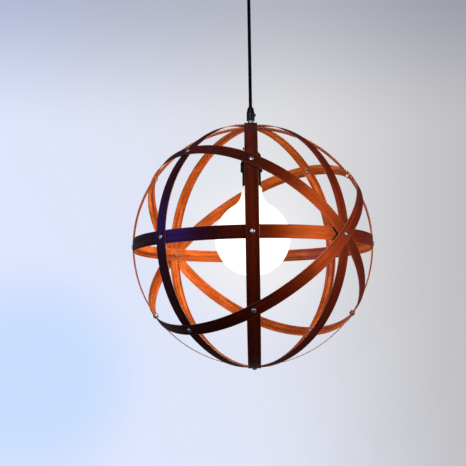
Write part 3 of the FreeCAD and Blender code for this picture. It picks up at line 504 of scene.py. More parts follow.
def scatter_tree():
    """Puts one fastener on each point, its axis along the point's way out, turned by a random angle."""
    tree, given = new_tree("on_each_point", Fastener="Object", Seed="Int", Most_turn="Float", Material="Material")
    points = node(tree, "GeometryNodeMeshToPoints", {"Mesh": given.outputs["Geometry"]})
    way = node(tree, "GeometryNodeInputNamedAttribute", {"Name": "way_out"}, data_type="FLOAT_VECTOR")
    upright = node(tree, "FunctionNodeAlignRotationToVector", {"Vector": way}, axis="Z")
    chance = node(tree, "FunctionNodeRandomValue", {2: 0.0, 3: given.outputs["Most turn"], 8: given.outputs["Seed"]})
    spin = node(tree, "FunctionNodeAxisAngleToRotation", {"Axis": POLE, "Angle": chance.outputs[1]})
    turned = node(tree, "FunctionNodeRotateRotation", {0: upright, 1: spin}, rotation_space="LOCAL")
    values = {"Object": given.outputs["Fastener"], "As Instance": True}
    fastener = node(tree, "GeometryNodeObjectInfo", values)
    values = {"Points": points, "Instance": fastener.outputs["Geometry"], "Rotation": turned}
    return tree_end(tree, node(tree, "GeometryNodeInstanceOnPoints", values), given.outputs["Material"])


def scattered(name, fastener, places, seed, most_turn, slot):
    """One piece with a copy of the fastener at each place, a (point, way out). The fastener itself is used up."""
    mesh = bpy.data.meshes.new(name)
    mesh.from_pydata([point for point, _ in places], [], [])
    ways = mesh.attributes.new("way_out", "FLOAT_VECTOR", "POINT")
    for item, (_, way) in zip(ways.data, places):
        item.vector = way
    values = {"fastener": fastener, "seed": seed, "most_turn": most_turn, "material": finish_of(slot)}
    piece = grown(name, scatter_tree(), mesh, **values)
    bpy.data.objects.remove(fastener)
    return piece


# The orb's geometry


def direction(azimuth, height):
    """The way out from the orb's centre: azimuth 0 is the front, and 90 the right."""
    a, b = math.radians(azimuth), math.radians(height)
    return Vector((math.cos(b) * math.sin(a), -math.cos(b) * math.cos(a), math.sin(b)))


FOUR_WAY = direction(45, 0)

# Name, the way out where the hoop is raised, a second way that it passes, its layer counted from inside, and its
# layer where it is raised.
HOOPS = (
    ("equator", FOUR_WAY, direction(-45, 0), 0, 0),
    ("side", POLE, direction(90, 0), 1, 1),
    ("right_diagonal", POLE, direction(45, 0), 1, 2),
    ("left_diagonal", POLE, direction(-45, 0), 1, 3),
    ("front", POLE, direction(0, 0), 1, 4),
    ("upper_tilted", FOUR_WAY, direction(-45, 45), 2, 2),
    ("lower_tilted", FOUR_WAY, direction(-45, -45), 2, 3),
)


def layer_pitch(orb):
    return orb.strip_thickness + orb.strip_width**2 / (8 * orb.radius) + AIR


def layer_radius(orb, layer):
    """Outside of a strip on that layer. The tilted hoops' own layer is number 2."""
    return orb.radius + (layer - 2) * layer_pitch(orb)


def raise_start(orb):
    """Angle from a four-way crossing up to which a hoop is fully raised."""
    return math.asin(orb.strip_width / 2 / math.sin(math.radians(22.5)) / orb.radius) + math.radians(1)


def layer_at(orb, hoop, way):
    _, raised_at, _, plain, raised = hoop
    angle = raised_at.angle(way)
    angle = min(angle, math.pi - angle)
    away = min(max((angle - raise_start(orb)) / (orb.raise_end - raise_start(orb)), 0), 1)
    return plain + (raised - plain) * (1 + math.cos(math.pi * away)) / 2


def crossings():
    """Every way out at which hoops cross, with the hoops that cross there."""
    found = []
    for i, one in enumerate(HOOPS):
        for other in HOOPS[i + 1 :]:
            way = one[1].cross(one[2]).cross(other[1].cross(other[2])).normalized()
            for d in (way, -way):
                same = next((hoops for known, hoops in found if known.angle(d) < 0.01), None)
                if same is None:
                    same = []
                    found.append((d, same))
                same += [hoop for hoop in (one, other) if hoop not in same]
    return found


def strip_tree():
    """A bent strip in its own plane, raised about +X and -X. It keeps where each point lies on the strip."""
    sizes = dict.fromkeys(("Radius", "Raised_by", "Raise_start", "Raise_end"), "Float")
    others = {"Section": "Object", "Steps": "Int", "Grain_offset": "Vector", "Material": "Material"}
    tree, given = new_tree("bent_strip", **sizes, **others)
    value = given.outputs
    circle = node(tree, "GeometryNodeCurvePrimitiveCircle", {"Resolution": value["Steps"], "Radius": 1.0})
    spot = node(tree, "GeometryNodeInputPosition")
    reach = maths(tree, "ABSOLUTE", axes(tree, spot)["X"])
    angle = maths(tree, "ARCCOSINE", maths(tree, "MINIMUM", reach, 1.0))
    away = between(tree, angle, value["Raise start"], value["Raise end"], smooth=False)
    share = maths(tree, "MULTIPLY_ADD", maths(tree, "COSINE", times(tree, away, math.pi)), 0.5, 0.5)
    radius = maths(tree, "MULTIPLY_ADD", share, value["Raised by"], value["Radius"])
    place = node(tree, "ShaderNodeVectorMath", {0: spot, "Scale": radius}, operation="SCALE")
    bent = node(tree, "GeometryNodeSetPosition", {"Geometry": circle, "Position": place})
    upright = node(tree, "GeometryNodeSetCurveNormal", {"Curve": bent})
    upright.mode = "Z_UP"
    section = node(tree, "GeometryNodeObjectInfo", {"Object": value["Section"]}).outputs["Geometry"]
    parts = axes(tree, node(tree, "GeometryNodeInputPosition"))
    for name, source in (("strip_out", parts["X"]), ("strip_across", parts["Y"])):
        section = stored(tree, section, name, source, "FLOAT")
    swept = node(tree, "GeometryNodeCurveToMesh", {"Curve": upright, "Profile Curve": section})
    shifted = node(tree, "ShaderNodeVectorMath", {0: spot, 1: value["Grain offset"]}, operation="ADD")
    return tree_end(tree, stored(tree, swept, "strip_place", shifted, "FLOAT_VECTOR"), value["Material"])


def strip_section(orb):
    """The strip's cross-section: its thickness across, its width up, with a point close to each rounded corner."""
    half, wide, turn = orb.strip_thickness / 2, orb.strip_width / 2, orb.edge_rounding
    near = wide - 2.5 * turn
    points = rounded([
        (half, -wide, turn), (half, -near), (half, near), (half, wide, turn),
        (-half, wide, turn), (-half, near), (-half, -near), (-half, -wide, turn),
    ], 4)
    curve, line = curve_through("strip_section", "POLY", [(*point, 0) for point in points])
    line.use_cyclic_u = True
    return new_object("strip_section", curve)


# Fasteners


def thread(pitch, depth, start, end):
    """Takes a right-hand thread off a radius between two heights, and fades it out over its last turn."""

    def cut(angle, radius, height):
        turn = height / pitch - angle / (2 * math.pi)
        fade = min(max(min(height - start, end - height) / pitch, 0), 1)
        return radius - depth * fade * (0.5 - 0.5 * math.cos(2 * math.pi * turn))

    return cut


def steps_between(low, high, step):
    count = max(round((high - low) / step), 1)
    return [low + (high - low) * k / count for k in range(count + 1)]


def cut_away(piece, tool):
    """Takes one closed mesh out of another for good."""
    modifier = piece.modifiers.new("recess", "BOOLEAN")
    modifier.operation, modifier.object, modifier.solver = "DIFFERENCE", tool, "EXACT"
    without_modifiers(piece)
    bpy.data.objects.remove(tool)
    smooth_outside(piece.data)
    return piece


def cross_recess(across, bar, top, depth):
    """The tapered cross that a driver fits, from above the head down to its depth."""
    cross = []
    for k in range(4):
        turn = Matrix.Rotation(math.pi / 2 * k, 2)
        cross += [turn @ Vector(p) for p in ((bar, bar), (bar, across), (-bar, across))]
    ends = ((0.55, top - depth), (1.25, top + 0.55 * depth))
    return lofted("cross_recess", [[(p.x * share, p.y * share, height) for p in cross] for share, height in ends])


def pan_screw(name, head, height, shank, length):
    """A pan-head screw on Z: its head sits on 0 and its shank reaches down."""
    rim, edge = 0.42 * height, 0.97 * head
    crown = (head**2 + (height - rim) ** 2) / (2 * (height - rim))
    reach = math.degrees(math.asin(edge / crown))
    dome = arc((0, height - crown), crown, 90 - reach, 90, 9)
    outline = [(0, -length), (0.8 * shank, -length), (shank, 0.4 * MM - length), (shank, 0), (0.96 * head, 0)]
    outline += [(head, 0.35 * rim), (head, 0.8 * rim), *dome[:-1], (0, height)]
    return cut_away(spun(name, outline, segments=40), cross_recess(0.52 * head, 0.11 * head, height, 0.55 * height))


def hex_nut(name, flats, height, bore, tail):
    """A hexagon nut on Z with its outer face on 0, with the rounded end of its screw reaching tail below it."""
    depths = [height * share for share in (0, 0.04, 0.08, 0.13, 0.2, 0.5, 0.8, 0.87, 0.92, 0.96, 1)]
    tip = -height - tail
    turned_end = [(0.72 * bore, tip), (bore, tip + 0.45 * MM), (bore, -height)]
    outline = [(0, 0), *[(flats, -d) for d in depths], *reversed(turned_end), (0, tip)]

    def shape(angle, radius, down):
        """Six flats, whose corners are bevelled towards both faces."""
        if radius != flats:
            return radius
        turn = (angle + math.pi / 6) % (math.pi / 3) - math.pi / 6
        bevelled = 0.475 * flats + min(-down, height + down) * math.sqrt(3)
        return min(flats / 2 / math.cos(turn), bevelled)

    return spun(name, outline, segments=48, shape=shape, crease=24)


def clamp_screw(name, node_name, body):
    """Makes a small cheese-head screw with a slot, lying along X where its CAD node lies."""
    low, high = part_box(node_name)
    head, tall, shank, length = 2.3 * MM, 1.8 * MM, 1.5 * MM, high.x - low.x
    tip, half, wide, deep = tall - length, 1.2 * head, 0.35 * MM, 0.8 * MM
    screw = spun(
        name,
        rounded([(0, tip), (shank, tip, 0.3 * MM), (shank, 0), (head, 0), (head, tall, 0.4 * MM), (0, tall)]),
        segments=40,
    )
    bar = ((-half, -wide), (half, -wide), (half, wide), (-half, wide))
    cut_away(screw, lofted("slot", [[(x, y, tall + rise) for x, y in bar] for rise in (-deep, deep)]))
    middle = (low + high) / 2
    outward = 1 if middle.x > 0 else -1
    seat = (high.x if outward > 0 else low.x) - outward * tall
    turn = Matrix.Rotation(outward * math.pi / 2, 4, "Y") @ Matrix.Rotation(math.radians(35), 4, "Z")
    screw.data.transform(Matrix.Translation((seat, middle.y, middle.z)) @ turn)
    smooth_outside(screw.data)
    settle(screw, body, "black_plastic", node_name)


# Operators


def finish_of(slot):
    """The slot's material, made on first use."""
    finish = bpy.context.scene.orb_finish
    name, make, *values = {
        "black_plastic": ("glossy_black_plastic", plastic_material, finish.plastic, 0.3, 2200.0, 0.2),
        "black_cord": ("black_cord_sheath", plastic_material, finish.cord, 0.5, 500.0, 0.25),
        "zinc_steel": ("zinc_plating", metal_material, finish.zinc, 0.3),
        "brass": ("bare_brass", metal_material, (0.56, 0.36, 0.12), 0.32),
    }[slot]
    return bpy.data.materials.get(name) or make(name, *values)


class ORBLAMP_OT_stage(bpy.types.Operator):
    """Makes the camera, the lamps, the floor and the pale surroundings"""

    bl_idname = "orblamp.stage"
    bl_label = "Stage"

    def execute(self, context):
        stage = context.scene.orb_stage
        self.camera(context, stage)
        self.lamps()
        self.floor(stage)
        self.surroundings(context)
        return {"FINISHED"}

    def camera(self, context, stage):
        """Set at the photograph's distance and height, with the orb a little right of and below the middle."""
        picture, orb_right, orb_below = 466, 19.68, 12.34
        focal = picture / 2 / math.tan(stage.view_angle / 2)
        data = bpy.data.cameras.new("camera")
        data.sensor_width = 36
        data.lens = data.sensor_width * focal / picture
        camera = new_object("camera", data)
        back = direction(0, math.degrees(stage.elevation))
        towards = (-back).to_track_quat("-Z", "Y").to_matrix().to_4x4()
        turn = Matrix.Rotation(stage.roll, 4, "Z")
        turn @= Matrix.Rotation(math.atan(orb_right / focal), 4, "Y")
        turn @= Matrix.Rotation(math.atan(orb_below / focal), 4, "X")
        camera.matrix_world = Matrix.Translation(ORB_CENTRE + back * stage.distance) @ towards @ turn
        context.scene.camera = camera

    def lamps(self):
        """Soft boxes. Some light surfaces, and a gleam only shows in the gloss of the hoops or the hard pieces."""
        distance = 2.0
        # Name, way from the orb, width, height, watts, colour, and the pieces that it gleams on
        for name, way, wide, tall, power, colour, lit in (
            ("right_gleam", direction(52, 10), 1.6, 2.4, 140.0, (1.0, 0.36, 0.08), "hoops"),
            ("left_gleam", direction(-72, 18), 1.2, 1.2, 24.0, (0.04, 0.06, 1.0), "hoops"),
            ("front_gleam", direction(-12, 22), 1.5, 1.5, 18.0, (1.0, 0.94, 0.94), "hard_pieces"),
            ("left_hard_gleam", direction(-70, 10), 0.9, 1.2, 9.0, (0.3, 0.45, 1.0), "hard_pieces"),
            ("right_hard_gleam", direction(62, 10), 0.9, 1.2, 9.0, (1.0, 0.85, 0.6), "hard_pieces"),
            ("side_soft_box", direction(80, 0), 1.5, 1.5, 26.0, (1.0, 0.6, 0.35), None),
            ("top_soft_box", direction(20, 78), 1.1, 1.1, 5.0, (1.0, 0.97, 0.95), None),
        ):
            data = bpy.data.lights.new(name, "AREA")
            data.shape, data.size, data.size_y, data.energy, data.color = "ELLIPSE", wide, tall, power, colour
            lamp = new_object(name, data)
            lamp.location = ORB_CENTRE + way * distance
            lamp.rotation_euler = way.to_track_quat("Z", "Y").to_euler()
            lamp.visible_diffuse = lit is None
            lamp.visible_glossy = lit is not None
            if lit:
                lamp.light_linking.receiver_collection = lit_group(lit)

    def floor(self, stage):
        """A pale disc below the lamp, whose rim fades into the surroundings. It throws little light back up."""
        radius, corners = 2.6, 72
        mesh = bpy.data.meshes.new("floor")
        rim = arc((0, 0), radius, 0, 360 - 360 / corners, corners - 1)
        mesh.from_pydata([(p.x, p.y, -stage.floor_drop) for p in rim], [], [list(range(corners))])
        floor = new_object("floor", mesh)
        made, tree, shader, place = new_material("pale_floor")
        across = node(tree, "ShaderNodeVectorMath", {0: stretched(tree, place, 1, 1, 0)}, operation="LENGTH")
        seen = node(tree, "ShaderNodeLightPath").outputs["Is Camera Ray"]
        set_sockets(
            shader,
            alpha=between(tree, across.outputs["Value"], radius * 0.45, radius * 0.97, 1.0, 0.0),
            base_color=blended(tree, seen, (0.12, 0.12, 0.13), (0.68, 0.7, 0.78)),
            emission_strength=times(tree, seen, 0.45),
            emission_color=(0.78, 0.8, 0.88, 1.0),
            roughness=0.8,
        )
        mesh.materials.append(made)

    def surroundings(self, context):
        """A pale lavender-grey wall, seen and mirrored, and a weaker plain light on the lamp."""
        world = bpy.data.worlds.new("surroundings")
        context.scene.world = world
        world.use_nodes = True
        tree = world.node_tree
        tree.nodes.clear()
        way = node(tree, "ShaderNodeTexCoord").outputs["Generated"]
        parts = axes(tree, way)
        slope = maths(tree, "MULTIPLY_ADD", parts["Z"], 0.5, parts["X"])
        seen = blended(tree, between(tree, slope, -0.15, 0.2), (0.74, 0.79, 0.98), (0.75, 0.75, 0.76))
        # Painted light on the wall: a patch of blue light low on the left, and a painted pale glow behind the bulb. The
        # wall is also greyer to the right and the top.
        for share, colour, how in (
            (self.spot(tree, way, (-0.205, 0.979, -0.015), 0.04, 0.125), (0.58, 0.73, 0.99), "MIX"),
            (between(tree, parts["X"], 0.0, 0.24), (0.68, 0.68, 0.7), "MULTIPLY"),
            (between(tree, parts["Z"], 0.2, 0.35), (0.58, 0.6, 0.69), "MULTIPLY"),
            (self.spot(tree, way, (-0.003, 0.995, 0.104), 0.0, 0.11), (0.89, 0.88, 0.9), "MIX"),
        ):
            seen = blended(tree, share, seen, colour, how)
        ray = node(tree, "ShaderNodeLightPath").outputs
        visible = maths(tree, "MAXIMUM", ray["Is Camera Ray"], ray["Is Glossy Ray"])
        visible = maths(tree, "MAXIMUM", visible, ray["Is Transmission Ray"])
        mirrored = maths(tree, "SUBTRACT", 1.0, times(tree, ray["Is Glossy Ray"], 0.86))
        from_above = between(tree, parts["Z"], -0.5, 0.6, 0.04, 0.32)
        from_right = between(tree, parts["X"], -0.6, 0.5, 0.16, 1.1)
        soft = {"Color": (0.9, 0.9, 1.0, 1.0), "Strength": times(tree, from_above, from_right)}
        plain = node(tree, "ShaderNodeBackground", soft)
        wall = node(tree, "ShaderNodeBackground", {"Color": seen, "Strength": mirrored})
        both = node(tree, "ShaderNodeMixShader", {0: visible, 1: plain, 2: wall})
        node(tree, "ShaderNodeOutputWorld", {"Surface": both})

    def spot(self, tree, way, middle, start, end):
        """1 round one point of the back wall, and 0 from the distance end on."""
        away = node(tree, "ShaderNodeVectorMath", {0: way, 1: middle}, operation="DISTANCE").outputs["Value"]
        return between(tree, away, start, end, 1.0, 0.0)


class ORBLAMP_OT_cord(bpy.types.Operator):
    """Makes the hanging cord and its two clamped ends"""

    bl_idname = "orblamp.cord"
    bl_label = "Cord"

    def execute(self, context):
        low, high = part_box("pendant_cord")
        radius = (high.x - low.x) / 2
        route = ((0, 0, -0.05105), (0, 0, -0.08465), (0, 0, -0.21745), (0, 0, -0.25105))
        curve, line = curve_through("hanging_cord", "NURBS", route)
        curve.dimensions = "3D"
        curve.bevel_depth, curve.bevel_resolution, curve.use_fill_caps = radius, 10, True
        line.order_u = 3
        line.use_endpoint_u = True
        line.resolution_u = 8
        cord = new_object("hanging_cord", curve)
        settle(cord, "cord", "black_cord", "pendant_cord")
        for node_name, body in (("lamp_cord_tail", "cord_grip"), ("canopy_cord_tail", "ceiling_rose")):
            low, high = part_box(node_name)
            ends = rounded([(0, low.z), (radius, low.z, 0.3 * MM), (radius, high.z, 0.3 * MM), (0, high.z)])
            tail = spun(node_name.replace("_tail", "_end"), ends, segments=48)
            settle(tail, body, "black_cord", node_name)
        return {"FINISHED"}


class ORBLAMP_OT_hoops(bpy.types.Operator):
    """Bends the seven veneer strips into hoops"""

    bl_idname = "orblamp.hoops"
    bl_label = "Veneer hoops"

    def execute(self, context):
        orb = context.scene.orb_sizes
        wood = wood_material(context.scene.orb_finish, orb)
        tree = strip_tree()
        section = strip_section(orb)
        for number, (name, first, second, plain, raised) in enumerate(HOOPS):
            piece = grown(
                name + "_veneer",
                tree,
                section=section,
                radius=layer_radius(orb, plain) - orb.strip_thickness / 2,
                raised_by=(raised - plain) * layer_pitch(orb),
                raise_start=raise_start(orb),
                raise_end=orb.raise_end,
                steps=orb.steps,
                grain_offset=[number * shift for shift in (1.7, 0.9, 0.37)],
                material=wood,
            )
            axis = first.cross(second).normalized()
            turn = Matrix((first, axis.cross(first), axis)).transposed().to_4x4()
            piece.data.transform(Matrix.Translation(ORB_CENTRE) @ turn)
            smooth_outside(piece.data, 60)
            settle(piece, "orb", "veneer", name + "_hoop")
        bpy.data.objects.remove(section)
        return {"FINISHED"}


class ORBLAMP_OT_fasteners(bpy.types.Operator):
    """Puts a pan-head screw and a nut at each crossing of the hoops but the one at the top"""

    bl_idname = "orblamp.fasteners"
    bl_label = "Screws and nuts"

    def execute(self, context):
        orb = context.scene.orb_sizes
        heads, nuts = [], []
        nut_flats = 7 * MM
        # How far a nut's corners lift it off the hollow inner face
        hollow = nut_flats**2 / (6 * orb.radius)
        for way, hoops in crossings():
            if way.angle(POLE) < 0.01:
                continue
            layers = [round(layer_at(orb, hoop, way)) for hoop in hoops]
            heads.append((ORB_CENTRE + way * (layer_radius(orb, max(layers)) + AIR), way))
            inner = layer_radius(orb, min(layers)) - orb.strip_thickness - hollow - AIR
            nuts.append((ORB_CENTRE + way * inner, way))
        groups = ("equator", "tilted_hoop", "four_way", "base")
        screw = pan_screw("pan_screw", 4 * MM, 2.6 * MM, 2 * MM, 2 * MM)
        piece = scattered("crossing_screws", screw, heads, 7, math.pi, "zinc_steel")
        settle(piece, "orb", "zinc_steel", *[group + "_screws" for group in groups])
        nut = hex_nut("small_nut", nut_flats, 3.2 * MM, 2 * MM, 1.2 * MM)
        piece = scattered("crossing_nuts", nut, nuts, 11, math.pi / 3, "zinc_steel")
        settle(piece, "orb", "zinc_steel", *[group + "_nuts" for group in groups])
        return {"FINISHED"}


class ORBLAMP_OT_tubes(bpy.types.Operator):
    """Makes the threaded hollow tubes at the orb's top and in the ceiling cup, with their nuts"""

    bl_idname = "orblamp.tubes"
    bl_label = "Threaded tubes"

    def execute(self, context):
        for name, node_name, body in (
            ("orb_tube", "threaded_tube", "orb"),
            ("cup_tube", "canopy_tube", "ceiling_rose"),
        ):
            low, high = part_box(node_name)
            outside, bore, pitch, deep = high.x, 3.9 * MM, 1 * MM, 0.55 * MM
            cut = thread(pitch, deep, low.z, high.z)
            wall = [(outside, height) for height in steps_between(low.z, high.z, pitch / 8)]

            def shape(angle, radius, height):
                return cut(angle, radius, height) if radius == outside else radius

            tube = spun(name, [(bore, low.z), *wall, (bore, high.z)], segments=40, shape=shape, crease=50)
            settle(tube, body, "zinc_steel", node_name)
        paint(finish_of("zinc_steel"), "top_nut", "inner_nut", "canopy_nut")
        return {"FINISHED"}


class ORBLAMP_OT_grips(bpy.types.Operator):
    """Makes the two tapered cord grips with their clamp screws"""

    bl_idname = "orblamp.grips"
    bl_label = "Cord grips"

    def execute(self, context):
        for name, node_name, body, turned_over in (
            ("lamp_grip", "lamp_cord_grip", "cord_grip", False),
            ("cup_grip", "canopy_cord_grip", "ceiling_rose", True),
        ):
            low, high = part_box(node_name)
            tall = high.z - low.z
            thread_bore, thread_deep, cord_bore = 5 * MM, 6.5 * MM, 3.1 * MM
            wide, taper, neck, mouth = 6.8 * MM, 12.5 * MM, 5 * MM, 4.1 * MM
            outline = rounded([
                (thread_bore, 0), (wide, 0, 0.6 * MM), (wide, taper, 2 * MM), (neck, tall - 1.6 * MM, 1.5 * MM),
                (mouth, tall, 0.5 * MM), (cord_bore + 0.2 * MM, tall, 0.3 * MM), (cord_bore, tall - 1 * MM),
                (cord_bore, thread_deep), (thread_bore, thread_deep),
            ])
            place = raised_by(low.z)
            if turned_over:
                place = raised_by(high.z) @ Matrix.Rotation(math.pi, 4, "X")
            settle(spun(name, outline, place=place), body, "black_plastic", node_name)
            clamp_screw(name + "_screw", node_name.replace("_cord_grip", "_grip_screw"), body)
        return {"FINISHED"}


class ORBLAMP_OT_holder(bpy.types.Operator):
    """Makes the lampholder: cap, ribbed ring, sleeve and what shows inside it"""

    bl_idname = "orblamp.holder"
    bl_label = "Lampholder"

    def execute(self, context):
        self.cap()
        self.ring()
        self.sleeve()
        clamp_screw("neck_screw", "neck_locking_screw", "orb")
        self.shell()
        paint(ceramic_material(), "holder_insert")
        paint(finish_of("brass"), "centre_contact", "live_terminal", "neutral_terminal")
        paint(plastic_material("wire_insulation", (0.12, 0.045, 0.02), 0.4), "lamp_wires", "canopy_wires")
        return {"FINISHED"}

    def cap(self):
        """A wide skirt that narrows over a shoulder into the neck that the tube screws into."""
        low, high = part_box("holder_cap")
        bore, wide, wall, tube_bore = 15.2 * MM, high.x, 1.8 * MM, 5 * MM
        neck, shoulder = 8.5 * MM, high.z - 11 * MM
        foot = shoulder - 12 * MM
        outline = rounded([
            (tube_bore, high.z), (tube_bore, shoulder), (bore - 5.5 * MM, shoulder - wall, 1 * MM),
            (bore - 1.2 * MM, shoulder - 5.6 * MM, 3 * MM), (bore, foot, 3 * MM), (bore, low.z),
            (wide, low.z, 0.5 * MM), (wide, foot, 4 * MM), (wide - 1.3 * MM, foot + 6.9 * MM, 4 * MM),
            (wide - 5.5 * MM, shoulder, 1.2 * MM), (neck, shoulder + 0.3 * MM, 0.6 * MM), (neck, high.z, 0.8 * MM),
        ], 8)
        settle(spun("lampholder_cap", outline), "orb", "black_plastic", "holder_cap")

    def ring(self):
        """A plain ring, with a bevelled rib repeated round it."""
        low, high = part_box("holder_ring")
        tall = high.z - low.z
        bore, outside, depth, count = 16.35 * MM, 18.3 * MM, 0.8 * MM, 24
        inner = outside - depth
        core = rounded([(bore, 0), (inner, 0, 0.4 * MM), (inner, tall, 0.4 * MM), (bore, tall)])
        base = spun("ring_core", core, segments=144, place=raised_by(low.z))
        settle(base, "orb", "black_plastic", "holder_ring")
        half, end, bevel = 0.34 * 2 * math.pi * outside / count, tall / 2 - 0.4 * MM, 0.35 * MM
        foot = 1.25 * half
        section = rounded([(-foot, -depth), (foot, -depth), (half, 0, 0.5 * MM), (-half, 0, 0.5 * MM)], 4)
        middle = Vector((0, -depth))
        loops = []
        for along, drawn_in in ((-end, 0.35), (bevel - end, 0), (end - bevel, 0), (end, 0.35)):
            loops.append([(along, *point.lerp(middle, drawn_in)) for point in section])
        places = []
        for k in range(count):
            way = direction(360 * (k + 0.5) / count, 0)
            places.append((Vector((0, 0, (low.z + high.z) / 2)) + way * outside, way))
        ribs = scattered("ring_ribs", lofted("ring_rib", loops), places, 0, 0.0, "black_plastic")
        settle(ribs, "orb", "black_plastic", "holder_ring")

    def sleeve(self):
        """The tube that the bulb's cap goes up into, with the collar that the ring sits on."""
        low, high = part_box("holder_sleeve")
        ring_low, ring_high = (corner.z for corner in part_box("holder_ring"))
        bore, skirt, collar, top = 14.2 * MM, 15.6 * MM, 16.3 * MM, 15.15 * MM
        outline = rounded([
            (bore, low.z, 0.3 * MM), (skirt, low.z, 0.6 * MM), (skirt, ring_low), (collar, ring_low),
            (collar, ring_high), (top, ring_high), (top, high.z), (bore, high.z),
        ])
        settle(spun("lampholder_sleeve", outline), "orb", "black_plastic", "holder_sleeve")

    def shell(self):
        """The brass screw shell, with the rolled thread showing inside."""
        low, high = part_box("screw_shell")
        bore, wall, pitch = 13.35 * MM, 0.35 * MM, 3.63 * MM
        heights = steps_between(low.z, high.z, pitch / 9)
        roll = thread(pitch, -0.35 * MM, low.z + 4 * MM, high.z - 4 * MM)
        outline = [(bore, height) for height in heights] + [(bore + wall, height) for height in reversed(heights)]
        settle(spun("brass_shell", outline, shape=roll), "orb", "brass", "screw_shell")


class ORBLAMP_OT_bulb(bpy.types.Operator):
    """Makes the globe bulb with its screw cap"""

    bl_idname = "orblamp.bulb"
    bl_label = "Bulb"

    def execute(self, context):
        bulb = context.scene.orb_bulb
        low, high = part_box("bulb_glass")
        globe, neck, blend, wall = (high.x - low.x) / 2, 17 * MM, 30 * MM, 1 * MM
        centre = low.z + globe
        skin = self.glass_line(globe, neck, blend, centre, high.z)
        lining = self.glass_line(globe - wall, neck - wall, blend + wall, centre, high.z)
        glass = spun("opal_globe", skin + lining[::-1], segments=144)
        settle(glass, "bulb", "opal_glass", "bulb_glass", material=opal_material(bulb, centre))
        self.light(bulb, glass, centre, globe * 0.93)
        self.screw_cap()
        paint(finish_of("brass"), "bulb_contact")
        paint(plastic_material("black_glass", (0.01, 0.01, 0.012), 0.15), "bulb_insulator")
        paint(plastic_material("clear_stem", (0.7, 0.75, 0.75), 0.1), "bulb_stem")
        return {"FINISHED"}

    def light(self, bulb, glass, centre, reach):
        """The bulb's light on the rest of the lamp: a ball just inside the glass, which moves with the bulb."""
        glass.visible_shadow = False
        data = bpy.data.lights.new("bulb_light", "POINT")
        data.energy, data.color, data.shadow_soft_size = bulb.power, bulb.warmth, reach
        ball = new_object("bulb_light", data)
        ball.location = (0, 0, centre)
        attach(ball, "bulb")

    def glass_line(self, globe, neck, blend, centre, top):
        """From the bottom of the globe, through the hollow of the neck, to where the cap holds the glass."""
        rise = math.sqrt((globe + blend) ** 2 - (neck + blend) ** 2)
        lean = math.degrees(math.atan2(rise, neck + blend))
        line = arc((0, centre), globe, -90, lean, 44)
        line += arc((neck + blend, centre + rise), blend, 180 + lean, 180, 12)[1:]
        skirt = top - 6 * MM
        shoulder = arc((neck - 5 * MM, skirt - 4.5 * MM), 5 * MM, 0, 68, 7)
        return line + shoulder + [Vector((shoulder[-1].x, top))]

    def screw_cap(self):
        """Rolled metal cap with its round thread."""
        low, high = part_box("bulb_cap")
        outside, wall, pitch = high.x, 0.4 * MM, 3.63 * MM
        heights = steps_between(low.z + 2 * MM, high.z - 3.2 * MM, pitch / 10)
        roll = thread(pitch, 0.9 * MM, low.z + 2 * MM, high.z - 3.2 * MM)
        end = 6.8 * MM
        skin = [(outside, low.z), *[(outside, h) for h in heights], (outside - 0.5 * MM, high.z - 1.6 * MM)]
        skin += [(outside - 2.2 * MM, high.z - 0.4 * MM), (outside - 3 * MM, high.z), (end, high.z)]
        lining = [(max(radius - wall, end), min(height, high.z - wall)) for radius, height in reversed(skin)]
        cap = spun("screw_cap", skin + lining, shape=roll, crease=45)
        # The cap keeps the plain metal of its CAD node
        settle(cap, "bulb", "cap_metal", "bulb_cap", material=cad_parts["bulb_cap"].data.materials[0])


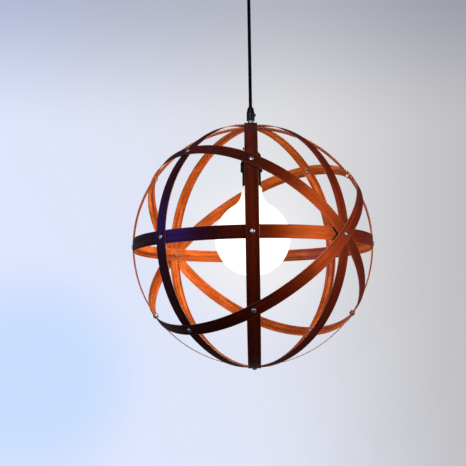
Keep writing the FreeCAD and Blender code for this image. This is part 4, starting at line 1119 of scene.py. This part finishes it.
class ORBLAMP_OT_ceiling_cup(bpy.types.Operator):
    """Makes the ceiling cup and finishes what it holds"""

    bl_idname = "orblamp.ceiling_cup"
    bl_label = "Ceiling cup"

    def execute(self, context):
        low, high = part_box("canopy_cup")
        wide, wall, turn, hole = high.x, 1.5 * MM, 9 * MM, 5.2 * MM
        outline = rounded([
            (hole, low.z, 0.4 * MM), (wide, low.z, turn), (wide, high.z, 0.5 * MM),
            (wide - wall, high.z, 0.5 * MM), (wide - wall, low.z + wall, turn - wall), (hole, low.z + wall),
        ], 9)
        paint_black = plastic_material("black_enamel", (0.014, 0.014, 0.016), 0.3, 500.0)
        cup = spun("ceiling_cup", outline, segments=144)
        settle(cup, "ceiling_rose", "black_paint", "canopy_cup", material=paint_black)
        low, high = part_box("canopy_side_screws")
        height, head = (low.z + high.z) / 2, 2.4 * MM
        seat = high.x - head
        places = [(Vector((side * seat, 0, height)), Vector((side, 0, 0))) for side in (-1, 1)]
        screw = pan_screw("cup_screw", 3.5 * MM, head, 2 * MM, 7 * MM)
        screws = scattered("cup_screws", screw, places, 5, math.pi, "zinc_steel")
        settle(screws, "ceiling_rose", "zinc_steel", "canopy_side_screws")
        paint(finish_of("zinc_steel"), "ceiling_bracket", "terminal_screws")
        paint(finish_of("brass"), "terminal_ferrules")
        paint(plastic_material("white_moulding", (0.72, 0.72, 0.7), 0.4), "terminal_block")
        return {"FINISHED"}


class ORBLAMP_PT_panel(bpy.types.Panel):
    """Lists the lamp's pieces in the sidebar"""

    bl_label = "Orb lamp"
    bl_space_type = "VIEW_3D"
    bl_region_type = "UI"
    bl_category = "Orb lamp"

    def draw(self, context):
        for group in (getattr(context.scene, name) for name in GROUPS):
            box = self.layout.box()
            for name in group.__annotations__:
                box.prop(group, name)
        for operator in OPERATORS:
            self.layout.operator(operator.bl_idname)


OPERATORS = (
    ORBLAMP_OT_stage,
    ORBLAMP_OT_cord,
    ORBLAMP_OT_hoops,
    ORBLAMP_OT_fasteners,
    ORBLAMP_OT_tubes,
    ORBLAMP_OT_grips,
    ORBLAMP_OT_holder,
    ORBLAMP_OT_bulb,
    ORBLAMP_OT_ceiling_cup,
)
GROUPS = {
    "orb_sizes": OrbSettings,
    "orb_finish": FinishSettings,
    "orb_bulb": BulbSettings,
    "orb_stage": StageSettings,
}


def register():
    for name, group in GROUPS.items():
        bpy.utils.register_class(group)
        setattr(bpy.types.Scene, name, PointerProperty(type=group))
    for operator in OPERATORS:
        bpy.utils.register_class(operator)
    bpy.utils.register_class(ORBLAMP_PT_panel)


def unregister():
    bpy.utils.unregister_class(ORBLAMP_PT_panel)
    for operator in reversed(OPERATORS):
        bpy.utils.unregister_class(operator)
    for name, group in reversed(GROUPS.items()):
        delattr(bpy.types.Scene, name)
        bpy.utils.unregister_class(group)


def main():
    register()
    bpy.context.scene.view_settings.view_transform = "Standard"
    for operator in OPERATORS:
        family, name = operator.bl_idname.split(".")
        getattr(getattr(bpy.ops, family), name)()


if __name__ == "__main__":
    main()
